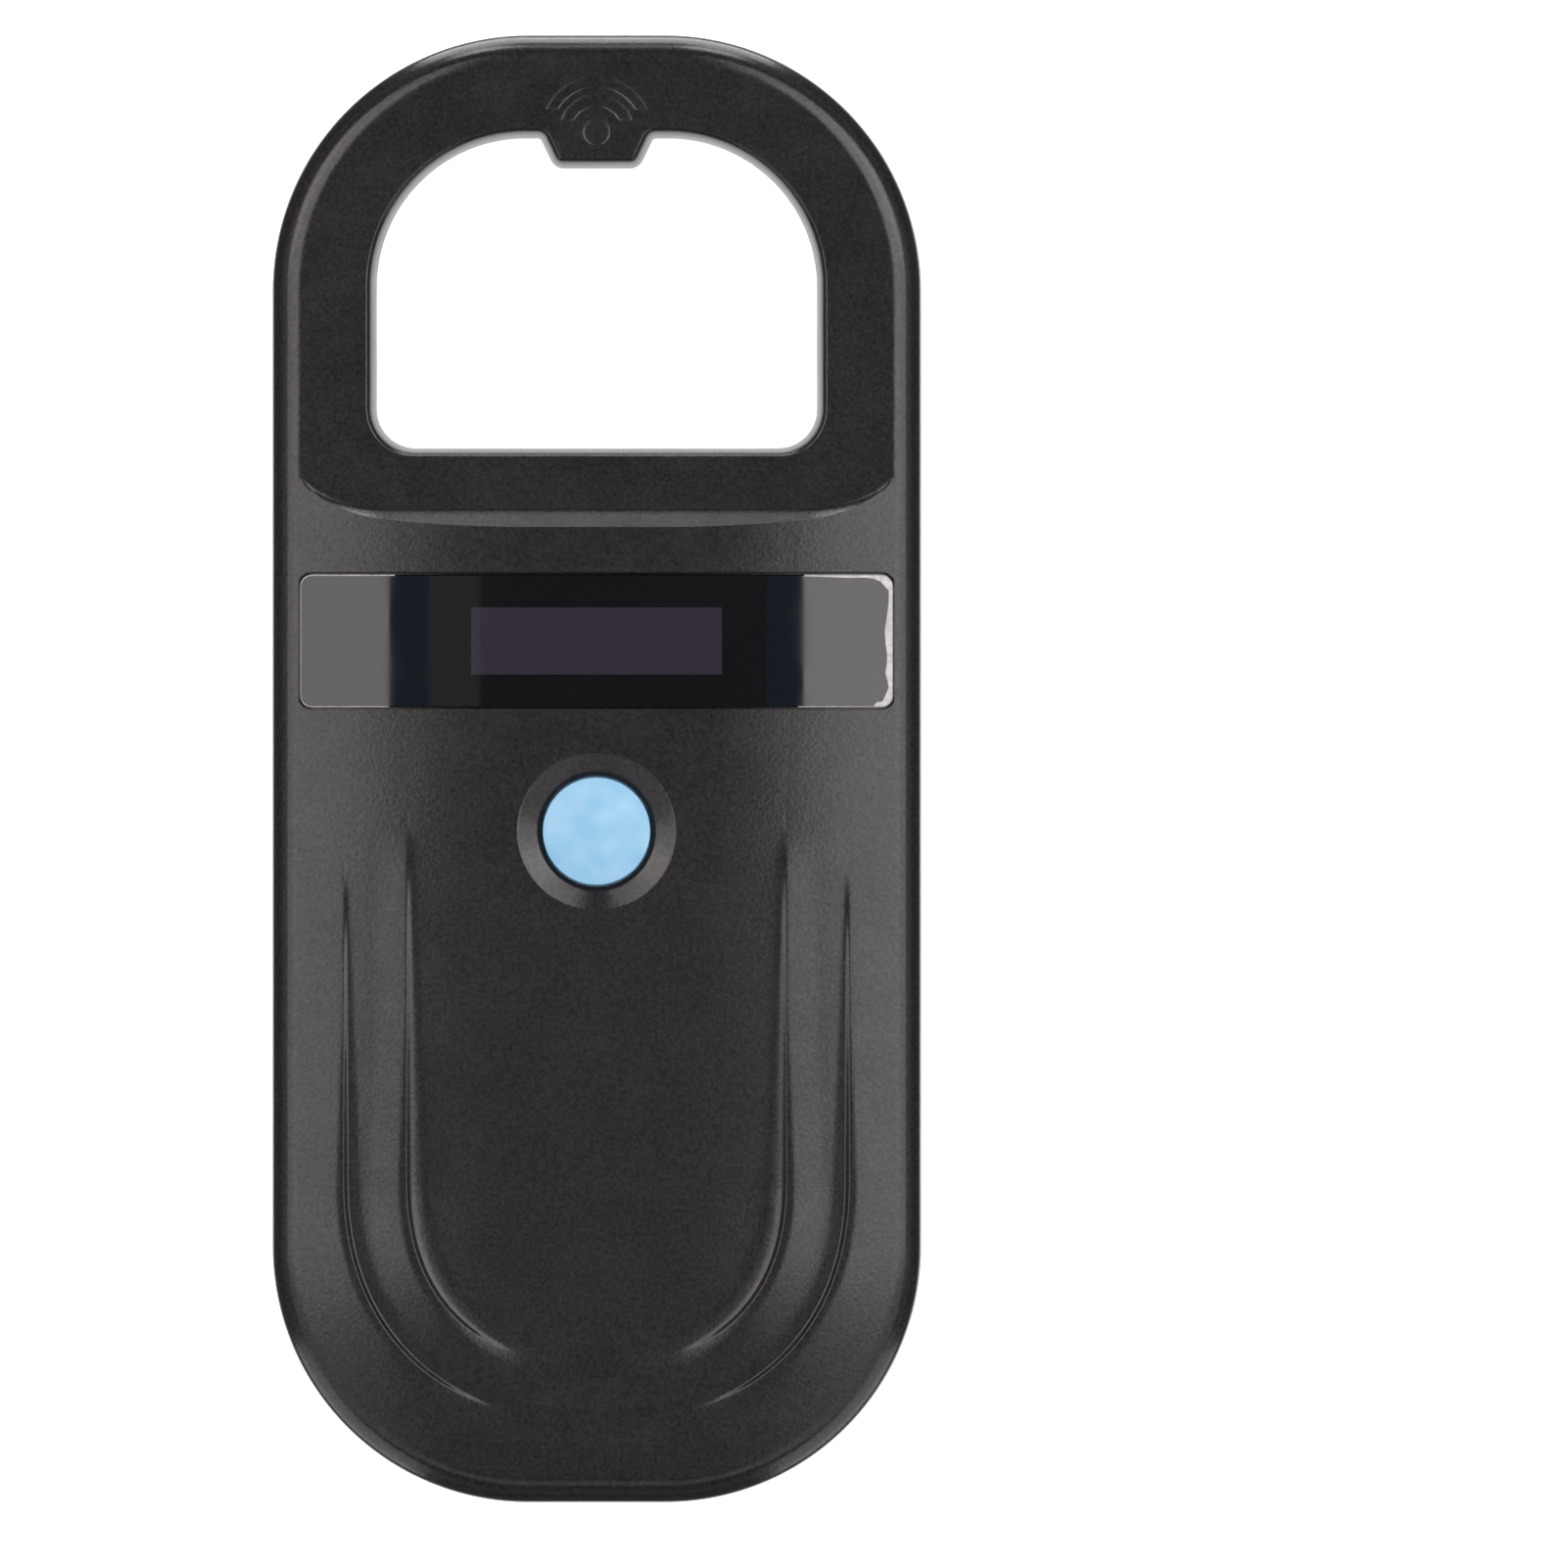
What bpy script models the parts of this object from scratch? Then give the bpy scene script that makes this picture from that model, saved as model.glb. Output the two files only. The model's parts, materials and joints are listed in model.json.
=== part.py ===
"""Handheld microchip scanner: housing, display, push button, antenna loop and electronics.

Frame, in metres: the scanner lies on its back, face up. +X is its right side, +Y points to the
antenna loop and +Z comes out of its face. The origin is on the back, under the middle.
"""

import math

import bmesh
import bpy
from mathutils import Vector
from mathutils.geometry import delaunay_2d_cdt

MM = 0.001

# Housing outline and thickness
HALF_WIDTH = 35.4 * MM
HALF_LENGTH = 80.0 * MM
CORNER_RADIUS = 27.9 * MM
THICKNESS = 21.5 * MM
PARTING_Z = 10.0 * MM
SIDE_DRAFT = 0.15 * MM
WALL = 2.0 * MM
FRONT_RIM_RADIUS = 2.6 * MM
BACK_RIM_RADIUS = 2.0 * MM
REBATE_INSET = 0.9 * MM
REBATE_DEPTH = 1.3 * MM
LIP_INSET = 1.2 * MM
LIP_HEIGHT = 1.0 * MM

# The face is domed: it drops by CROWN_DROP between its middle and CREASE_INSET from its edge
CREASE_INSET = 3.0 * MM
CROWN_DROP = 1.6 * MM
FACE_PLANE = THICKNESS - CROWN_DROP
STEP_FOOT_Y = 28.4 * MM
STEP_SLOPE = 0.72

# Loop opening, with the tab at its top edge
OPENING_HALF_WIDTH = 24.85 * MM
OPENING_LOW = 34.1 * MM
OPENING_HIGH = 69.6 * MM
OPENING_LOW_RADIUS = 5.1 * MM
OPENING_HIGH_RADIUS = 17.1 * MM
OPENING_DRAFT = 0.86 * MM
TAB_TIP_Y = 66.3 * MM
TAB_TIP_HALF = 4.05 * MM
TAB_TIP_RADIUS = 0.7 * MM
TAB_ROOT_HALF = 5.6 * MM
TAB_ROOT_RADIUS = 1.3 * MM

# Two nested U-shaped ledges: the face steps down inside each of them
LEDGE_DEPTH = 0.75 * MM
LEDGE_WIDTH = 2.4 * MM
LEDGE_CENTRE_Y = -44.3 * MM
LEDGE_FULL_Y = -46.0 * MM
OUTER_LEDGE = {"half": 27.4 * MM, "reach": 26.9 * MM, "power": 2.3, "start": -11.0 * MM}
INNER_LEDGE = {"half": 21.0 * MM, "reach": 20.8 * MM, "power": 2.4, "start": -6.0 * MM}

# Display
LENS_HALF_WIDTH = 32.3 * MM
LENS_HALF_HEIGHT = 7.22 * MM
LENS_Y = 13.9 * MM
LENS_CORNER = 1.3 * MM
LENS_THICKNESS = 1.2 * MM
LENS_SINK = 0.1 * MM
LENS_GAP = 0.2 * MM
TAPE_THICKNESS = 0.2 * MM
TAPE_GAP = 0.1 * MM
TAPE_INSET = 0.3 * MM
TAPE_WIDTH = 0.9 * MM
RECESS_DEPTH = 1.7 * MM
PAD_DEPTH = 3.0 * MM
PAD_MARGIN = 2.0 * MM
PANEL_HALF_WIDTH = 16.5 * MM
PANEL_HALF_HEIGHT = 6.0 * MM
PANEL_THICKNESS = 1.4 * MM
PANEL_TOP = THICKNESS - PAD_DEPTH - 0.3 * MM

# Push button, on its own axis
BUTTON_Y = -6.8 * MM
BUTTON_RADIUS = 5.85 * MM
BUTTON_GAP = 0.35 * MM
BUTTON_DOME = 0.5 * MM
BUTTON_EDGE_Z = THICKNESS - 0.4 * MM
BUTTON_FLANGE_RADIUS = 7.0 * MM
BUTTON_FLANGE_TOP = 19.1 * MM
BUTTON_FLANGE_BOTTOM = 18.2 * MM
BUTTON_STEM_RADIUS = 2.0 * MM
BUTTON_STEM_BOTTOM = 17.6 * MM
DISH_RADIUS = 8.6 * MM
DISH_FOOT_RADIUS = 6.5 * MM
DISH_DEPTH = 0.8 * MM

# Circuit board and what is on it
PCB_BACK = 11.4 * MM
PCB_FRONT = 13.0 * MM
PCB_HALF_WIDTH = 30.5 * MM
PCB_LOW = -76.5 * MM
PCB_HIGH = 21.5 * MM
PCB_LOW_RADIUS = 24.9 * MM
PCB_HIGH_RADIUS = 3.0 * MM
PART_GAP = 0.1 * MM
TOUCH_GAP = 0.3 * MM
CHIP_BASE = PCB_FRONT + PART_GAP
SWITCH_HALF = 3.0 * MM
SWITCH_TOP = 16.6 * MM
SWITCH_BORE_RADIUS = 2.0 * MM
SWITCH_BORE_FLOOR = 14.9 * MM
PLUNGER_RADIUS = 1.7 * MM
PLUNGER_BOTTOM = 15.6 * MM

# Charging socket in the flat end
USB_HALF_WIDTH = 3.75 * MM
USB_TOP = PCB_BACK - TOUCH_GAP
USB_BOTTOM = USB_TOP - 2.6 * MM
USB_MOUTH_Y = -79.4 * MM
USB_REAR_Y = -73.8 * MM
USB_SKIN = 0.3 * MM
PORT_RECESS_DEPTH = 0.9 * MM
PORT_RECESS_HALF = 6.0 * MM
PORT_RECESS_MARGIN = 2.2 * MM

# Antenna coil, round the opening
COIL_OFFSET = 2.3 * MM
COIL_WIDTH = 1.4 * MM
COIL_BOTTOM = 10.6 * MM
COIL_TOP = 15.6 * MM
WIRE_RADIUS = 0.4 * MM

# Screws: two round the loop, two beside the display, two at the socket end
CORNER_SCREW = (24.1 * MM, 68.85 * MM)
MIDDLE_SCREW = (30.1 * MM, 24.8 * MM)
SHELL_SCREWS = [(side * x, y)
                for x, y in (CORNER_SCREW, MIDDLE_SCREW, (CORNER_SCREW[0], -CORNER_SCREW[1]))
                for side in (-1, 1)]
SCREW_SEAT = 4.0 * MM
SCREW_TIP = 15.0 * MM
SCREW_HEAD_RADIUS = 1.8 * MM
SCREW_HEAD_HEIGHT = 1.4 * MM
SCREW_SHANK_RADIUS = 0.95 * MM
SCREW_WELL_RADIUS = 2.1 * MM
REAR_HOLE_RADIUS = 1.3 * MM
REAR_BOSS_RADIUS = 2.9 * MM
FRONT_BOSS_RADIUS = 2.1 * MM
PILOT_RADIUS = 1.25 * MM
PILOT_END = 15.5 * MM
PCB_SCREWS = [(side * x, y) for x, y in ((26.0 * MM, -3.0 * MM), (21.5 * MM, -58.0 * MM))
              for side in (-1, 1)]
PCB_SCREW_TIP = 16.6 * MM
PCB_SCREW_HEAD_RADIUS = 1.7 * MM
PCB_SCREW_HEAD_HEIGHT = 1.0 * MM
PCB_HOLE_RADIUS = 1.3 * MM
PCB_PILOT_END = 17.0 * MM

# Battery, behind the board
FLOOR = 2.0 * MM
FOAM_TOP = 2.5 * MM
CELL_TOP = 8.4 * MM
CELL_HALF_WIDTH = 17.0 * MM
CELL_LOW = -63.0 * MM
CELL_HIGH = -13.0 * MM
CONNECTOR_Y = -5.0 * MM
CONNECTOR_X = -10.0 * MM

# Blank label on the back
LABEL_HALF_WIDTH = 20.0 * MM
LABEL_LOW = -48.0 * MM
LABEL_HIGH = -4.0 * MM
LABEL_RECESS_MARGIN = 0.4 * MM
LABEL_RECESS_DEPTH = 0.4 * MM

ARC_STEPS = 10
CIRCLE_STEPS = 24

PLASTIC = ((0.030, 0.028, 0.028), 0.45, 0.0)
GLOSS_BLACK = ((0.004, 0.004, 0.006), 0.06, 0.0)
BUTTON_BLUE = ((0.23, 0.56, 0.86), 0.40, 0.0)
COPPER = ((0.60, 0.25, 0.10), 0.35, 1.0)
STEEL = ((0.45, 0.45, 0.46), 0.35, 1.0)
BOARD_GREEN = ((0.01, 0.12, 0.05), 0.45, 0.0)
CHIP_BLACK = ((0.02, 0.02, 0.022), 0.5, 0.0)
CERAMIC = ((0.45, 0.33, 0.20), 0.5, 0.0)
SILVER_FOIL = ((0.62, 0.62, 0.64), 0.4, 0.8)
FOAM = ((0.05, 0.05, 0.05), 0.95, 0.0)
LABEL = ((0.75, 0.75, 0.74), 0.5, 0.0)
RED = ((0.55, 0.02, 0.02), 0.45, 0.0)
BLACK_WIRE = ((0.015, 0.015, 0.015), 0.45, 0.0)
CREAM = ((0.75, 0.70, 0.58), 0.45, 0.0)
AMBER = ((0.55, 0.28, 0.05), 0.35, 0.0)
PANEL_GLASS = ((0.035, 0.025, 0.04), 0.1, 0.0)


# ---------------------------------------------------------------- plane outlines

def offset_corners(corners, distance):
    """Moves each edge of a counterclockwise polygon outwards; corner radii follow."""
    count = len(corners)
    moved = []
    for i, (x, y, radius, steps) in enumerate(corners):
        point = Vector((x, y))
        along_in = (point - Vector(corners[i - 1][:2])).normalized()
        along_out = (Vector(corners[(i + 1) % count][:2]) - point).normalized()
        normal_in = Vector((along_in.y, -along_in.x))
        normal_out = Vector((along_out.y, -along_out.x))
        turn = 1.0 if along_in.cross(along_out) > 0.0 else -1.0
        shift = (normal_in + normal_out) / (1.0 + normal_in.dot(normal_out))
        moved_point = point + shift * distance
        moved.append((moved_point.x, moved_point.y, radius + turn * distance, steps))
    return moved


def rounded(corners):
    """The polygon's points, with an arc of the given radius and steps at each corner."""
    count = len(corners)
    points = []
    for i, (x, y, radius, steps) in enumerate(corners):
        point = Vector((x, y))
        to_last = (Vector(corners[i - 1][:2]) - point).normalized()
        to_next = (Vector(corners[(i + 1) % count][:2]) - point).normalized()
        half_angle = to_last.angle(to_next) / 2.0
        centre = point + (to_last + to_next).normalized() * (radius / math.sin(half_angle))
        tangent = radius / math.tan(half_angle)
        arm_in = point + to_last * tangent - centre
        arm_out = point + to_next * tangent - centre
        sweep = -arm_in.angle_signed(arm_out)
        start = math.atan2(arm_in.y, arm_in.x)
        for step in range(steps + 1):
            angle = start + sweep * step / steps
            points.append((centre.x + radius * math.cos(angle),
                           centre.y + radius * math.sin(angle)))
    return points


def box_corners(left, right, low, high, low_radius, high_radius, steps=ARC_STEPS):
    """Corners of a rounded rectangle, counterclockwise from its upper right."""
    return [(right, high, high_radius, steps), (left, high, high_radius, steps),
            (left, low, low_radius, steps), (right, low, low_radius, steps)]


def outline(inset):
    """The housing's outline, moved inwards."""
    corners = box_corners(-HALF_WIDTH, HALF_WIDTH, -HALF_LENGTH, HALF_LENGTH,
                          CORNER_RADIUS, CORNER_RADIUS)
    return rounded(offset_corners(corners, -inset))


def opening(growth):
    """The loop opening with its tab, made wider by growth."""
    corners = [
        (OPENING_HALF_WIDTH, OPENING_HIGH, OPENING_HIGH_RADIUS, ARC_STEPS),
        (TAB_ROOT_HALF, OPENING_HIGH, TAB_ROOT_RADIUS, 3),
        (TAB_TIP_HALF, TAB_TIP_Y, TAB_TIP_RADIUS, 3),
        (-TAB_TIP_HALF, TAB_TIP_Y, TAB_TIP_RADIUS, 3),
        (-TAB_ROOT_HALF, OPENING_HIGH, TAB_ROOT_RADIUS, 3),
        (-OPENING_HALF_WIDTH, OPENING_HIGH, OPENING_HIGH_RADIUS, ARC_STEPS),
        (-OPENING_HALF_WIDTH, OPENING_LOW, OPENING_LOW_RADIUS, 5),
        (OPENING_HALF_WIDTH, OPENING_LOW, OPENING_LOW_RADIUS, 5),
    ]
    return rounded(offset_corners(corners, growth))


def plain_opening(growth):
    """The loop opening without its tab, made wider by growth."""
    corners = [
        (OPENING_HALF_WIDTH, OPENING_HIGH, OPENING_HIGH_RADIUS, ARC_STEPS),
        (-OPENING_HALF_WIDTH, OPENING_HIGH, OPENING_HIGH_RADIUS, ARC_STEPS),
        (-OPENING_HALF_WIDTH, OPENING_LOW, OPENING_LOW_RADIUS, 5),
        (OPENING_HALF_WIDTH, OPENING_LOW, OPENING_LOW_RADIUS, 5),
    ]
    return rounded(offset_corners(corners, growth))


def rectangle(left, right, low, high):
    return [(right, high), (left, high), (left, low), (right, low)]


def circle(x, y, radius, steps=CIRCLE_STEPS):
    angles = [2.0 * math.pi * step / steps for step in range(steps)]
    return [(x + radius * math.cos(a), y + radius * math.sin(a)) for a in angles]


# ---------------------------------------------------------------- heights of the face

def inset_at(x, y):
    """How far a point lies inside the housing's outline."""
    over_x = abs(x) - (HALF_WIDTH - CORNER_RADIUS)
    over_y = abs(y) - (HALF_LENGTH - CORNER_RADIUS)
    outside = math.hypot(max(over_x, 0.0), max(over_y, 0.0))
    return CORNER_RADIUS - outside - min(max(over_x, over_y), 0.0)


def crown(x, y):
    """The domed face, before its edge is rounded."""
    reach = max(0.0, CORNER_RADIUS - inset_at(x, y))
    return THICKNESS - CROWN_DROP * (reach / (CORNER_RADIUS - CREASE_INSET)) ** 2


def rim_drop(x, y):
    """How far the rounded edge falls below the crown."""
    short = max(0.0, FRONT_RIM_RADIUS - (inset_at(x, y) - SIDE_DRAFT))
    short = min(short, FRONT_RIM_RADIUS)
    return FRONT_RIM_RADIUS - math.sqrt(FRONT_RIM_RADIUS ** 2 - short ** 2)


def ledge_ramp(ledge, y):
    """Grows from 0 where a ledge starts to 1 where it has its full depth."""
    return min(max((ledge["start"] - y) / (ledge["start"] - LEDGE_FULL_Y), 0.0), 1.0)


def ledge_drop(ledge, x, y):
    """How far the face lies below the crown because of one ledge."""
    ramp = ledge_ramp(ledge, y)
    if ramp == 0.0:
        return 0.0
    across = abs(x) / ledge["half"]
    along = max(0.0, LEDGE_CENTRE_Y - y) / ledge["reach"]
    spread = (across ** ledge["power"] + along ** ledge["power"]) ** (1.0 / ledge["power"])
    inside = (1.0 - spread) * ledge["half"]
    share = min(max(inside / (LEDGE_WIDTH * ramp), 0.0), 1.0)
    return LEDGE_DEPTH * ramp * (1.0 - (1.0 - share) ** 2)


def dish_drop(x, y):
    """The cone round the button."""
    radius = math.hypot(x, y - BUTTON_Y)
    share = (DISH_RADIUS - radius) / (DISH_RADIUS - DISH_FOOT_RADIUS)
    return DISH_DEPTH * min(max(share, 0.0), 1.0)


def smooth_face(x, y):
    """The face without the dish round the button."""
    domed = crown(x, y) - rim_drop(x, y)
    domed -= ledge_drop(OUTER_LEDGE, x, y) + ledge_drop(INNER_LEDGE, x, y)
    return min(domed, FACE_PLANE + max(0.0, STEP_FOOT_Y - y) * STEP_SLOPE)


def face(x, y):
    return smooth_face(x, y) - dish_drop(x, y)


def ceiling(x, y):
    return smooth_face(x, y) - WALL


def back_face(x, y):
    """The rounded edge of the back, round its flat middle."""
    short = max(0.0, BACK_RIM_RADIUS - (inset_at(x, y) - SIDE_DRAFT))
    short = min(short, BACK_RIM_RADIUS)
    return BACK_RIM_RADIUS - math.sqrt(BACK_RIM_RADIUS ** 2 - short ** 2)


def level(height):
    """A flat surface at one height."""
    return lambda x, y: height


def below_crown(depth):
    """A surface parallel to the crown."""
    return lambda x, y: crown(x, y) - depth


# ---------------------------------------------------------------- lines that shape the face

def lower_ring(inset, top_y):
    """The part of an inset outline that lies below top_y, as an open line."""
    side = HALF_WIDTH - inset
    lower = [point for point in outline(inset) if point[1] < 0.0]
    return [(-side, top_y)] + lower + [(side, top_y)]


def ledge_line(ledge, share):
    """A line along a ledge: share 0 at its crest, 1 at its foot."""
    points = []
    straight = 5
    for step in range(1, straight + 1):
        y = ledge["start"] + (LEDGE_CENTRE_Y - ledge["start"]) * step / (straight + 1)
        points.append((ledge["half"] - LEDGE_WIDTH * ledge_ramp(ledge, y) * share, y))
    half = ledge["half"] - LEDGE_WIDTH * share
    reach = ledge["reach"] * half / ledge["half"]
    turn = 12
    for step in range(turn // 2 + 1):
        angle = math.pi / 2.0 * step / (turn // 2)
        points.append((half * max(0.0, math.cos(angle)) ** (2.0 / ledge["power"]),
                       LEDGE_CENTRE_Y - reach * math.sin(angle) ** (2.0 / ledge["power"])))
    return points[:-1] + [(-x, y) for x, y in reversed(points)]


def panel_lines():
    """Lines across the panel inside the inner ledge, where its slope starts and ends."""
    half = INNER_LEDGE["half"] - LEDGE_WIDTH - MM
    return [[(-half, y), (half, y)] for y in (INNER_LEDGE["start"] - DISH_RADIUS, LEDGE_FULL_Y)]


def step_lines():
    """Foot and crest of the step between the domed body and the flat face of the loop."""
    end = HALF_WIDTH - CREASE_INSET
    stations = [end * i / 8 for i in range(-8, 9)]
    foot = [(-end, STEP_FOOT_Y), (end, STEP_FOOT_Y)]
    crest = [(x, STEP_FOOT_Y - (crown(x, 0.0) - FACE_PLANE) / STEP_SLOPE)
             for x in stations[1:-1]]
    return [foot, [foot[0]] + crest + [foot[1]]]


def rim_rings(radius, first_inset):
    """Rings along a rounded edge."""
    return [outline(first_inset + radius * (1.0 - math.cos(math.radians(angle)))) + [None]
            for angle in (30.0, 60.0, 90.0)]


def face_lines():
    crease = outline(CREASE_INSET) + [None]
    rings = [lower_ring(inset * MM, 27.0 * MM) for inset in (7.0, 12.0, 18.0, 24.0)]
    ledges = [ledge_line(ledge, share) for ledge in (OUTER_LEDGE, INNER_LEDGE)
              for share in (0.0, 0.5, 1.0)]
    return (rim_rings(FRONT_RIM_RADIUS, SIDE_DRAFT) + [crease] + rings + ledges
            + panel_lines() + step_lines())


def dish_lines():
    return [circle(0.0, BUTTON_Y, radius) + [None] for radius in (DISH_RADIUS, DISH_FOOT_RADIUS)]


def ceiling_lines():
    rings = [lower_ring(inset * MM, 27.0 * MM) for inset in (9.0, 16.0, 24.0)]
    ledges = [ledge_line(ledge, share) for ledge in (OUTER_LEDGE, INNER_LEDGE)
              for share in (0.0, 1.0)]
    start = INNER_LEDGE["start"]
    level_line = [(-INNER_LEDGE["half"], start), (INNER_LEDGE["half"], start)]
    return ([outline(CREASE_INSET) + [None]] + rings + ledges + panel_lines() + [level_line]
            + step_lines())


# ---------------------------------------------------------------- closed meshes

def is_inside(point, loop):
    """Whether a point lies inside a closed loop."""
    inside = False
    x, y = point
    for (x1, y1), (x2, y2) in zip(loop, loop[1:] + loop[:1]):
        if (y1 > y) != (y2 > y) and x < (x2 - x1) * (y - y1) / (y2 - y1) + x1:
            inside = not inside
    return inside


def sheet(mesh, loops, lines, height):
    """Adds a triangulated surface: the first loop bounds it and the others are holes.

    A line that ends in None is closed. Returns the vertices along each loop.
    """
    points = []
    edges = []
    starts = []
    for chain in [loop + [None] for loop in loops] + lines:
        closed = chain[-1] is None
        corners = chain[:-1] if closed else chain
        first = len(points)
        starts.append(first)
        points.extend(corners)
        edges.extend((first + i, first + i + 1) for i in range(len(corners) - 1))
        if closed:
            edges.append((len(points) - 1, first))
    flat, _, faces, sources, _, _ = delaunay_2d_cdt(
        [Vector(point) for point in points], edges, [], 0, 1.0e-8)
    verts = [mesh.verts.new((p.x, p.y, height(p.x, p.y))) for p in flat]
    for corners in faces:
        middle = sum((flat[i] for i in corners), Vector((0.0, 0.0))) / len(corners)
        if is_inside(middle, loops[0]) and not any(is_inside(middle, hole) for hole in loops[1:]):
            mesh.faces.new([verts[i] for i in corners])
    made = {old: verts[new] for new, olds in enumerate(sources) for old in olds}
    rings = [[made[first + i] for i in range(len(loop))] for first, loop in zip(starts, loops)]
    for vert in verts:
        if not vert.link_faces:
            mesh.verts.remove(vert)
    return rings


def wall(mesh, low, high):
    """Joins two rings of vertices with quads."""
    for i, vert in enumerate(low):
        mesh.faces.new((low[i - 1], vert, high[i], high[i - 1]))


def block(top_loops, bottom_loops, top, bottom, top_lines=(), bottom_lines=()):
    """A closed mesh between two surfaces, with a wall along each pair of loops."""
    mesh = bmesh.new()
    high_rings = sheet(mesh, top_loops, list(top_lines), top)
    low_rings = sheet(mesh, bottom_loops, list(bottom_lines), bottom)
    for low, high in zip(low_rings, high_rings):
        wall(mesh, low, high)
    bmesh.ops.recalc_face_normals(mesh, faces=mesh.faces)
    return mesh


def prism(loop, bottom, top):
    """A closed mesh with a flat bottom and top."""
    return block([loop], [loop], level(top), level(bottom))


def cuboid(left, right, low, high, bottom, top):
    return prism(rectangle(left, right, low, high), bottom, top)


def turned(profile, steps=CIRCLE_STEPS):
    """A closed mesh turned about Z from (radius, height) points, lowest first."""
    mesh = bmesh.new()
    rings = [[mesh.verts.new((x, y, height)) for x, y in circle(0.0, 0.0, radius, steps)]
             for radius, height in profile]
    for low, high in zip(rings, rings[1:]):
        wall(mesh, low, high)
    mesh.faces.new(rings[0])
    mesh.faces.new(rings[-1])
    bmesh.ops.recalc_face_normals(mesh, faces=mesh.faces)
    return mesh


def joined(meshes):
    """Several closed meshes, clear of each other, as one cutter or filler."""
    whole = bmesh.new()
    for mesh in meshes:
        data = bpy.data.meshes.new("piece")
        mesh.to_mesh(data)
        mesh.free()
        whole.from_mesh(data)
        bpy.data.meshes.remove(data)
    return whole


# ---------------------------------------------------------------- objects

def material(name, look):
    colour, roughness, metallic = look
    made = bpy.data.materials.new(name)
    made.use_nodes = True
    shader = made.node_tree.nodes["Principled BSDF"]
    shader.inputs["Base Color"].default_value = (*colour, 1.0)
    shader.inputs["Roughness"].default_value = roughness
    shader.inputs["Metallic"].default_value = metallic
    return made


def add(name, mesh, look, origin=(0.0, 0.0, 0.0)):
    """Makes an object from a mesh whose coordinates are counted from origin."""
    data = bpy.data.meshes.new(name)
    mesh.to_mesh(data)
    mesh.free()
    data.materials.append(material(name, look))
    data.shade_smooth()
    data.set_sharp_from_angle(angle=math.radians(30.0))
    made = bpy.data.objects.new(name, data)
    made.location = origin
    bpy.context.collection.objects.link(made)
    return made


def boolean(target, operation, name, mesh):
    """Cuts a hidden helper from target, or joins it to target."""
    data = bpy.data.meshes.new(name)
    mesh.to_mesh(data)
    mesh.free()
    helper = bpy.data.objects.new(name, data)
    helper.hide_render = True
    helper.display_type = "WIRE"
    bpy.context.collection.objects.link(helper)
    step = target.modifiers.new(name, "BOOLEAN")
    step.operation = operation
    step.solver = "EXACT"
    step.object = helper


def cut(target, name, mesh):
    boolean(target, "DIFFERENCE", name, mesh)


def fuse(target, name, mesh):
    boolean(target, "UNION", name, mesh)


def cylinders(places, radius, bottom, top):
    """Upright cylinders at several places."""
    return joined([prism(circle(x, y, radius, 16), bottom, top) for x, y in places])


# ---------------------------------------------------------------- housing

def lens_outline(growth):
    return rounded(box_corners(
        -LENS_HALF_WIDTH - growth, LENS_HALF_WIDTH + growth,
        LENS_Y - LENS_HALF_HEIGHT - growth, LENS_Y + LENS_HALF_HEIGHT + growth,
        LENS_CORNER + growth, LENS_CORNER + growth, 3))


def split_at(loop, places):
    """The loop with extra points where it crosses the lines x = place."""
    points = []
    for (x1, y1), (x2, y2) in zip(loop, loop[1:] + loop[:1]):
        points.append((x1, y1))
        crossed = [place for place in places if min(x1, x2) < place < max(x1, x2)]
        crossed.sort(reverse=x1 > x2)
        points += [(place, y1 + (y2 - y1) * (place - x1) / (x2 - x1)) for place in crossed]
    return points


def domed_plate(loops, top_depth, bottom_depth):
    """A plate that follows the crown, between two depths below it."""
    places = [side * x * MM for x in (10.0, 15.0, 20.0, 25.0, 29.0) for side in (-1, 1)]
    loops = [split_at(loop, places) for loop in loops]
    return block(loops, loops, below_crown(top_depth), below_crown(bottom_depth))


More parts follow.
